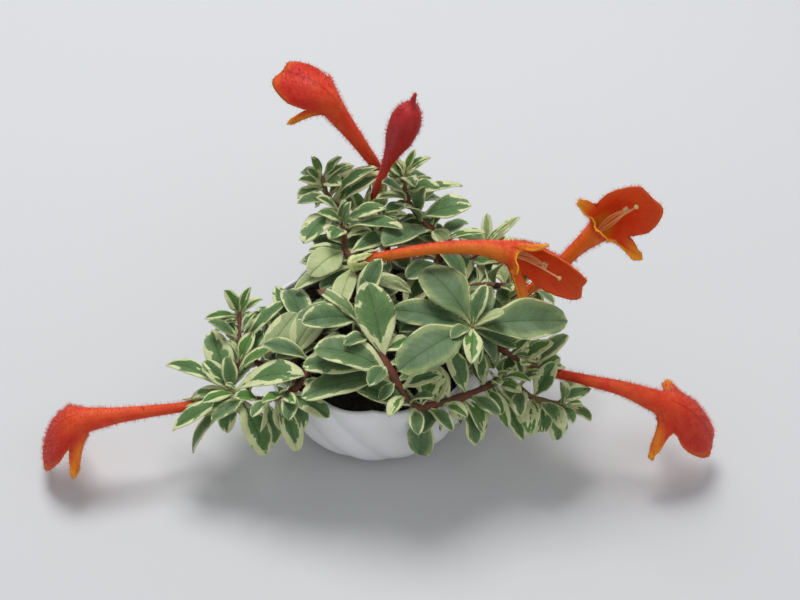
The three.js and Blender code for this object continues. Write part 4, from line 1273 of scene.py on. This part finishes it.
def build_shoots(wanted):
    top = leaf_finish("leaf_top", wanted, False)
    underside = leaf_finish("leaf_underside", wanted, True)
    margin = top.copy()
    margin.name = "leaf_margin"
    bark = stem_finish(wanted)
    blanks = {True: leaf_blank("leaf_blank_broad", 14, 20), False: leaf_blank("leaf_blank_small", 8, 12)}
    shoots = []
    for i, plan in enumerate(SHOOTS):
        stems = stems_of(plan, FIRST_SEED + SHOOT_SEED_STEP * i)
        leaves = [leaf for stem in stems for leaf in table_leaves(blanks, stem)]
        shoots.append((stems, [stem.wood() for stem in stems], leaves))
    fill_gaps(blanks, shoots)
    for plan, (_, woods, leaves) in zip(SHOOTS, shoots):
        blades = close_up(joined("blades", [leaf for leaf, _ in leaves]), closed=False)
        give(blades, top, underside, margin)
        thicken(
            blades, wanted.leaf_thickness, vertex_group="rib", thickness_vertex_group=EDGE_THICKNESS,
            material_offset_rim=2,
        )
        wood = give(joined("wood", woods), bark)
        shoot = joined(f"shoot_{plan['name']}", [shade(blades), wood])
        settle(shoot, "foliage", f"leafy_stem_{plan['name']}")
    for blank in blanks.values():
        bpy.data.objects.remove(blank)


# Hairs


def hairs_on(piece, name, slots, part, number, length, radius, material):
    """Hairs over the faces in some of a piece's material slots, each a fine three-sided cone."""
    density, lean, seed = HAIRS[part]
    mesh = piece.data
    mesh.calc_loop_triangles()
    count = len(mesh.loop_triangles)
    corners, slot_of = np.empty(3 * count, int), np.empty(count, int)
    mesh.loop_triangles.foreach_get("vertices", corners)
    mesh.loop_triangles.foreach_get("material_index", slot_of)
    triangles = (places_of(piece) / MM)[corners.reshape(-1, 3)][np.isin(slot_of, slots)]
    crossed = np.cross(triangles[:, 1] - triangles[:, 0], triangles[:, 2] - triangles[:, 0])
    area = np.linalg.norm(crossed, axis=1) / 2
    solid = area > 1e-6
    triangles, crossed, area = triangles[solid], crossed[solid], area[solid]
    random = np.random.default_rng(seed + number)
    wanted = int(density * area.sum())
    chosen = random.choice(len(area), wanted, p=area / area.sum())
    first, second = np.sqrt(random.uniform(0, 1, wanted)), random.uniform(0, 1, wanted)
    weights = np.stack([1 - first, first * (1 - second), first * second], axis=-1)
    places = np.einsum("nk,nkc->nc", weights, triangles[chosen])
    directions = unit(unit(crossed[chosen]) + lean * random.normal(size=(wanted, 3)))
    sizes = np.outer(random.uniform(0.5, 1.15, wanted), (radius / MM, radius / MM, length / MM))
    cone = bpy.ops.mesh.primitive_cone_add
    blank = started(cone, vertices=3, radius1=1, radius2=0, depth=1, end_fill_type="NOTHING")
    blank.data.vertices.foreach_set("co", (places_of(blank) + (0, 0, 0.5)).ravel())
    return give(scattered(name, blank, places - 0.1 * directions, directions, sizes, random), material)


def build_leaf_hairs(wanted):
    pale = hair_finish("leaf_hair", srgb(214, 220, 190), srgb(176, 190, 150))
    brown = hair_finish("stem_hair", srgb(150, 84, 58), srgb(186, 140, 104))
    length, radius = wanted.hair_length, wanted.hair_radius
    for i, plan in enumerate(SHOOTS):
        shoot = bpy.data.objects[f"shoot_{plan['name']}"]
        sets = [
            hairs_on(shoot, "hairs", [0], "leaf", i, length, radius, pale),
            hairs_on(shoot, "hairs", [2], "margin", i, length, radius, pale),
            hairs_on(shoot, "hairs", [3], "stem", i, 1.3 * length, radius, brown),
        ]
        settle(joined(f"hairs_of_shoot_{plan['name']}", sets), "foliage")


# Flowers


def flower_frame(flower, t):
    """Places and directions on a flower's axis: forward, towards the back of the hood, and sideways."""
    line = [seen(place) for place in flower["path"]]
    back = unit(np.array(flower["back"], float))
    forward = heading_at(line, t)
    dorsal = unit(back - forward * (forward @ back)[..., None])
    return curve_at(line, t), forward, dorsal, np.cross(forward, dorsal)


def beyond(flower, ahead, up, out):
    """Places beyond the mouth. They bend down from the hood's back, the more the farther ahead they lie."""
    middle, forward, dorsal, side = flower_frame(flower, np.array(1.0))
    ahead, up, out = (np.asarray(value, float)[..., None] for value in (ahead, up, out))
    droop = math.radians(flower["bend"]) * np.maximum(0, ahead) / HOOD_REACH
    onward = ahead * np.cos(droop) + up * np.sin(droop)
    upward = up * np.cos(droop) - ahead * np.sin(droop)
    return middle + forward * onward + dorsal * upward + side * out


def ring_points(where, radius, angle):
    """Places round a flower's axis, at angles from the middle of the hood."""
    middle, _, dorsal, side = where
    return middle + dorsal * (radius * np.cos(angle))[:, None] + side * (radius * np.sin(angle))[:, None]


def whole_edge(flower):
    """The free edge all the way round from the middle of the hood, both sides alike."""
    hood, spread = flower["hood"], flower["spread"]
    (ahead, up, out), (lip_ahead, lip_up) = flower["lobe"], flower["lip"]
    half = [(angle, hood * a, hood * b, spread * c) for angle, a, b, c in HOOD_EDGE]
    half += [(angle, ahead + a, up + b, out + c) for angle, a, b, c in LOBE_EDGE]
    half += [*NOTCH_EDGE, (168, lip_ahead, lip_up + 0.6, 1.6), (180, lip_ahead, lip_up, 0)]
    return half + [(360 - angle, a, b, -c) for angle, a, b, c in reversed(half[:-1])]


def corolla_points(flower, u, v):
    """A flower's skin: up the tube, then on from its mouth to the edge of hood, lobes and lip."""
    edge = whole_edge(flower)
    degrees = np.interp(u * (len(edge) - 1), range(len(edge)), [row[0] for row in edge])
    angle = np.radians(degrees)
    along_tube = np.minimum(1, v / TUBE_SHARE)
    radius = np.where(v < 1e-6, 0, smooth_value(TUBE_RADII, along_tube))
    on_tube = ring_points(flower_frame(flower, along_tube), radius, angle)
    mouth = flower_frame(flower, np.array(1.0))
    start = ring_points(mouth, np.full(len(u), float(MOUTH_RADIUS)), angle)
    hooded = np.maximum(0, np.cos(angle))
    outward = mouth[2] * np.cos(angle)[:, None] + mouth[3] * np.sin(angle)[:, None]
    turn = start + mouth[1] * (3.5 + 12 * hooded)[:, None] + outward * (1 + 2.5 * hooded)[:, None]
    ahead, up, out = (smooth_value([(row[0], row[k]) for row in edge], degrees) for k in (1, 2, 3))
    frill = FRILL * np.sin(0.55 * degrees) * np.sin(angle)
    end = beyond(flower, ahead + frill, up + 0.5 * frill, out)
    t = np.clip((v - TUBE_SHARE) / (1 - TUBE_SHARE), 0, 1)[:, None]
    free = start * (1 - t) ** 2 + turn * 2 * t * (1 - t) + end * t**2
    return np.where(v[:, None] <= TUBE_SHARE, on_tube, free)


def build_corollas(wanted):
    outside, inside = petal_outside_finish(wanted), petal_inside_finish(wanted)
    down = hair_finish("petal_hair", srgb(184, 38, 32), srgb(222, 82, 54))
    length, radius = wanted.petal_hair, 1.2 * wanted.hair_radius
    for i, flower in enumerate(FLOWERS):
        name = flower["name"]
        petals = laid_sheet("petals", 96, 50, lambda u, v: corolla_points(flower, u, v))
        give(close_up(petals, closed=False), outside, inside)
        shade(thicken(petals, wanted.petal_thickness, material_offset_rim=0))
        settle(petals, "petal", f"corolla_{name}")
        petals.name = f"petals_{name}"
        hairs = hairs_on(petals, f"hairs_of_petals_{name}", [0], "petal", i, length, radius, down)
        settle(hairs, "petal")


def build_bud(wanted):
    def place(u, v):
        angle = 2 * math.pi * u
        radius = np.where((v < 1e-6) | (v > 1 - 1e-6), 0, smooth_value(BUD_RADII, v))
        fold = 1 + 0.06 * np.cos(5 * angle) * step_between(0.3, 0.6, v)
        return ring_points(flower_frame(BUD, v), radius * fold, angle)

    bud = shade(close_up(laid_sheet("closed_bud", 50, 48, place)))
    settle(give(bud, bud_finish(wanted)), "bud", "corolla_bud")
    down = hair_finish("bud_hair", srgb(150, 24, 34), srgb(206, 84, 66))
    length, radius = wanted.petal_hair, 1.2 * wanted.hair_radius
    settle(hairs_on(bud, "hairs_of_bud", [0], "bud", 0, length, radius, down), "bud")


def sepal(middle, forward, out):
    """One sepal, with small teeth along both of its edges."""
    start = middle - 1.2 * forward + 2.8 * out
    tip = middle + SEPAL_LENGTH * forward + 3.6 * out

    def place(u, t):
        teeth = 1 - 0.3 * np.abs((t * 4.5 + 0.2) % 1 - 0.25) * step_between(0.1, 0.25, t)
        half = smooth_value(SEPAL_OUTLINE, t) * SEPAL_WIDTH / 2 * teeth
        return blade_points(u, t, start, tip, half, out, arch=0.02, keel=-0.25)

    return laid_sheet("sepal", 8, 36, place)


def build_calyces(wanted):
    green = calyx_finish(wanted)
    pale = bpy.data.materials["leaf_hair"]
    length, radius = wanted.hair_length, wanted.hair_radius
    for i, flower in enumerate([*FLOWERS, BUD]):
        name = flower["name"]
        middle, forward, dorsal, side = (part[0] for part in flower_frame(flower, np.array([0.0])))
        stem = seen(flower["stem"])
        below = middle - 3.4 * forward
        sagging = 0.5 * (stem + below) - (0, 0, 0.7)
        stalk_way = [stem + 1.2 * unit(below - stem), sagging, below, middle - 1.6 * forward]
        cup_way = [middle - 4 * forward, middle - 2 * forward, middle + 0.8 * forward]
        stalk = tube("stalk", stalk_way, STALK_RADII, 10, 12)
        cup = tube("cup", cup_way, CUP_RADII, 20, 12)
        sepals = []
        for turn in 2 * math.pi * (np.arange(SEPALS) + 0.5) / SEPALS:
            sepals.append(sepal(middle, forward, dorsal * math.cos(turn) + side * math.sin(turn)))
        leaves = give(close_up(joined("sepals", sepals), closed=False), green, green)
        shade(thicken(leaves, SEPAL_THICKNESS * MM, material_offset_rim=0))
        calyx = joined(f"sepals_{name}", [leaves, give(joined("base", [cup, stalk]), green)])
        settle(calyx, "calyx", f"calyx_{name}")
        hairs = hairs_on(calyx, f"hairs_of_sepals_{name}", [0, 1], "sepal", i, length, radius, pale)
        settle(hairs, "calyx")


def build_stamens(wanted):
    thread = thread_finish("filament", wanted.filament, srgb(244, 172, 110))
    dust = thread_finish("anther", srgb(238, 214, 164), srgb(216, 184, 128))
    knob = thread_finish("stigma", srgb(226, 206, 140), srgb(206, 186, 110))
    for flower in FLOWERS:
        line = [seen(place) for place in flower["path"]]
        _, forward, _, side = flower_frame(flower, np.array(1.0))

        def ahead(on, up, out):
            """A place beyond the mouth. Stamens are shorter in a flower that bends more."""
            return beyond(flower, (1 - flower["bend"] / FULL_BEND) * on, up, out)

        column = [curve_at(line, 0.66) + 0.5 * forward, curve_at(line, 0.82), ahead(-1, -0.5, 0)]
        threads = [tube("column", column, COLUMN_RADII, 12, 14)]
        head = ahead(19, -2.4, 0.5)
        for out in (1.8, 0.7, -0.7, -1.8):
            way = [ahead(-2, -0.5, out / 5), ahead(7, 0.2, out), ahead(14, -0.9, 0.7 * out + 0.2), head]
            threads.append(tube("filament", way, FILAMENT_RADII, 8, 24))
        style = [ahead(-2, -0.9, 0), ahead(8, -1.8, 0), ahead(18, -4.8, 0.4), ahead(27, -8, 1.2)]
        threads.append(tube("style", style, STYLE_RADII, 8, 28))
        onward = unit(head - ahead(16, -1.4, 0.4))
        lobes = []
        for across, along in ANTHER_PLACES:
            centre = head + across * side + along * onward
            ends = [centre - 0.75 * onward, centre, centre + 0.75 * onward]
            lobes.append(tube("anther", ends, ANTHER_RADII, 12, 12))
        tip = style[-1]
        heading = unit(tip - style[-2])
        stigma = tube("stigma", [tip - 0.8 * heading, tip, tip + 0.9 * heading], STIGMA_RADII, 12, 12)
        anthers = give(joined("anthers", lobes), dust)
        parts = [give(joined("threads", threads), thread), anthers, give(stigma, knob)]
        stamens = joined(f"threads_{flower['name']}", parts)
        settle(stamens, "stamen", f"stamens_{flower['name']}")


# Stage


def area_light(name, place, size, power):
    """A round light that looks at the plant."""
    data = bpy.data.lights.new(name, "AREA")
    data.shape = "DISK"
    data.size = size
    data.energy = power
    light = placed(bpy.data.objects.new(name, data))
    light.location = place
    x, y, z = np.array(LIGHT_TARGET) - place
    light.rotation_euler = (math.atan2(math.hypot(x, y), -z), 0, math.atan2(-x, y))


def build_stage(wanted):
    grid = bpy.ops.mesh.primitive_grid_add
    floor = started(grid, x_subdivisions=4, y_subdivisions=4, size=6)
    floor.name = "floor"
    give(floor, floor_finish(wanted))
    world = bpy.data.worlds.new("soft_daylight")
    world.use_nodes = True
    sky = world.node_tree.nodes["Background"].inputs
    sky["Color"].default_value = (*srgb(236, 239, 244), 1)
    sky["Strength"].default_value = wanted.sky
    area_light("window", (-0.15, 0.6, 1.5), 0.75, wanted.key)
    area_light("fill", (0.7, -0.9, 1.3), 1.6, wanted.key * 0.16)
    data = bpy.data.cameras.new("photo_view")
    data.sensor_fit = "HORIZONTAL"
    data.sensor_width = SENSOR_WIDTH
    data.lens = CAMERA_FOCUS_PX / IMAGE_WIDTH_PX * SENSOR_WIDTH
    data.clip_start = 0.01
    camera = placed(bpy.data.objects.new("photo_view", data))
    away = CAMERA_DISTANCE * np.array((0, -math.cos(CAMERA_TILT), math.sin(CAMERA_TILT)))
    camera.location = MM * (CAMERA_TARGET + away)
    camera.rotation_euler = (math.pi / 2 - CAMERA_TILT, 0, 0)
    scene = bpy.context.scene
    scene.world = world
    scene.camera = camera
    scene.view_settings.view_transform = "Standard"


# What a user can change


def length_value(name, description, default, low, high):
    """A length whose default and limits are given in millimetres, and which Blender keeps in metres."""
    return FloatProperty(
        name=name, description=description, default=default * MM, min=low * MM, max=high * MM,
        precision=5, unit="LENGTH",
    )


def colour_value(name, description, *color):
    return FloatVectorProperty(
        name=name, description=description, default=srgb(*color), min=0, max=1, size=3, subtype="COLOR"
    )


class PlantSettings(PropertyGroup):
    """The sizes, colours and lights that a user may want to change."""

    leaf_thickness: length_value("Leaf rib", "Thickness of a leaf at its midrib", 1.2, 0.4, 2)
    petal_thickness: length_value("Petal", "Thickness of the petals", 0.6, 0.3, 1)
    hair_length: length_value("Hair length", "Length of the hairs on leaves", 1.0, 0.2, 2)
    hair_radius: length_value("Hair radius", "Radius of a hair at its root", 0.06, 0.02, 0.2)
    petal_hair: length_value("Petal hair", "Length of the hairs on petals", 1.9, 0.2, 3)
    pot: colour_value("Bowl", "White of the bowl", 248, 248, 249)
    leaf_middle: colour_value("Leaf middle", "Green of a mature leaf", 70, 102, 60)
    leaf_zone: colour_value("Leaf zone", "Greyer green next to the border", 108, 136, 92)
    leaf_young: colour_value("Young leaf", "Bright green of young leaves", 84, 130, 50)
    leaf_cream: colour_value("Leaf border", "Cream of the borders", 220, 224, 168)
    stem: colour_value("Stem", "Reddish brown of the stems", 122, 66, 46)
    petal: colour_value("Petal", "Scarlet of the tube", 228, 68, 38)
    petal_yellow: colour_value("Petal yellow", "Orange yellow of the lobes", 255, 174, 42)
    hood: colour_value("Hood", "Crimson of hood and bud", 204, 38, 34)
    hood_inside: colour_value("Hood inside", "Scarlet of the hood's inside", 244, 80, 38)
    throat: colour_value("Throat", "Yellow of the throat", 250, 176, 48)
    sepal: colour_value("Sepal", "Pale cream of the sepals", 226, 230, 160)
    filament: colour_value("Filament", "Pale orange of the filaments", 248, 184, 116)
    floor: colour_value("Floor", "Pale grey of the floor", 212, 213, 214)
    sky: FloatProperty(name="Sky", description="Strength of the sky's light", default=0.46, min=0)
    key: FloatProperty(
        name="Window", description="Power of the window light", default=17.5, min=0, unit="POWER"
    )


class PLANT_OT_stage(Operator):
    """Adds the floor, the lights and the camera"""

    bl_idname = "plant.stage"
    bl_label = "Stage"
    bl_options = {"REGISTER", "UNDO"}

    def execute(self, context):
        build_stage(context.scene.plant)
        return {"FINISHED"}


class PLANT_OT_pot(Operator):
    """Builds the fluted bowl"""

    bl_idname = "plant.pot"
    bl_label = "Bowl"
    bl_options = {"REGISTER", "UNDO"}

    def execute(self, context):
        build_pot(context.scene.plant)
        return {"FINISHED"}


class PLANT_OT_soil(Operator):
    """Fills the bowl with loose potting mix"""

    bl_idname = "plant.soil"
    bl_label = "Potting mix"
    bl_options = {"REGISTER", "UNDO"}

    def execute(self, context):
        build_soil()
        return {"FINISHED"}


class PLANT_OT_shoots(Operator):
    """Grows the shoots with their variegated leaves"""

    bl_idname = "plant.shoots"
    bl_label = "Leafy shoots"
    bl_options = {"REGISTER", "UNDO"}

    def execute(self, context):
        build_shoots(context.scene.plant)
        return {"FINISHED"}


class PLANT_OT_leaf_hairs(Operator):
    """Grows hairs on leaves and stems"""

    bl_idname = "plant.leaf_hairs"
    bl_label = "Leaf hairs"
    bl_options = {"REGISTER", "UNDO"}

    def execute(self, context):
        build_leaf_hairs(context.scene.plant)
        return {"FINISHED"}


class PLANT_OT_corollas(Operator):
    """Builds the five open flowers with their hairs"""

    bl_idname = "plant.corollas"
    bl_label = "Corollas"
    bl_options = {"REGISTER", "UNDO"}

    def execute(self, context):
        build_corollas(context.scene.plant)
        return {"FINISHED"}


class PLANT_OT_bud(Operator):
    """Builds the closed bud with its hairs"""

    bl_idname = "plant.bud"
    bl_label = "Bud"
    bl_options = {"REGISTER", "UNDO"}

    def execute(self, context):
        build_bud(context.scene.plant)
        return {"FINISHED"}


class PLANT_OT_calyces(Operator):
    """Builds stalks, cups and toothed sepals"""

    bl_idname = "plant.calyces"
    bl_label = "Calyces"
    bl_options = {"REGISTER", "UNDO"}

    def execute(self, context):
        build_calyces(context.scene.plant)
        return {"FINISHED"}


class PLANT_OT_stamens(Operator):
    """Builds filaments, anthers and styles"""

    bl_idname = "plant.stamens"
    bl_label = "Stamens"
    bl_options = {"REGISTER", "UNDO"}

    def execute(self, context):
        build_stamens(context.scene.plant)
        return {"FINISHED"}


BUILDERS = [
    PLANT_OT_stage,
    PLANT_OT_pot,
    PLANT_OT_soil,
    PLANT_OT_shoots,
    PLANT_OT_leaf_hairs,
    PLANT_OT_corollas,
    PLANT_OT_bud,
    PLANT_OT_calyces,
    PLANT_OT_stamens,
]


class PLANT_PT_panel(Panel):
    """Lists the operators that build the plant, and its settings."""

    bl_label = "Potted plant"
    bl_idname = "PLANT_PT_panel"
    bl_space_type = "VIEW_3D"
    bl_region_type = "UI"
    bl_category = "Plant"

    def draw(self, context):
        for operator in BUILDERS:
            self.layout.operator(operator.bl_idname)
        for name in PlantSettings.__annotations__:
            self.layout.prop(context.scene.plant, name)


CLASSES = [PlantSettings, *BUILDERS, PLANT_PT_panel]


def register():
    for each in CLASSES:
        bpy.utils.register_class(each)
    bpy.types.Scene.plant = PointerProperty(type=PlantSettings)


def unregister():
    del bpy.types.Scene.plant
    for each in reversed(CLASSES):
        bpy.utils.unregister_class(each)


def main():
    register()
    for operator in BUILDERS:
        getattr(bpy.ops.plant, operator.bl_idname.split(".")[1])()


if __name__ == "__main__":
    main()
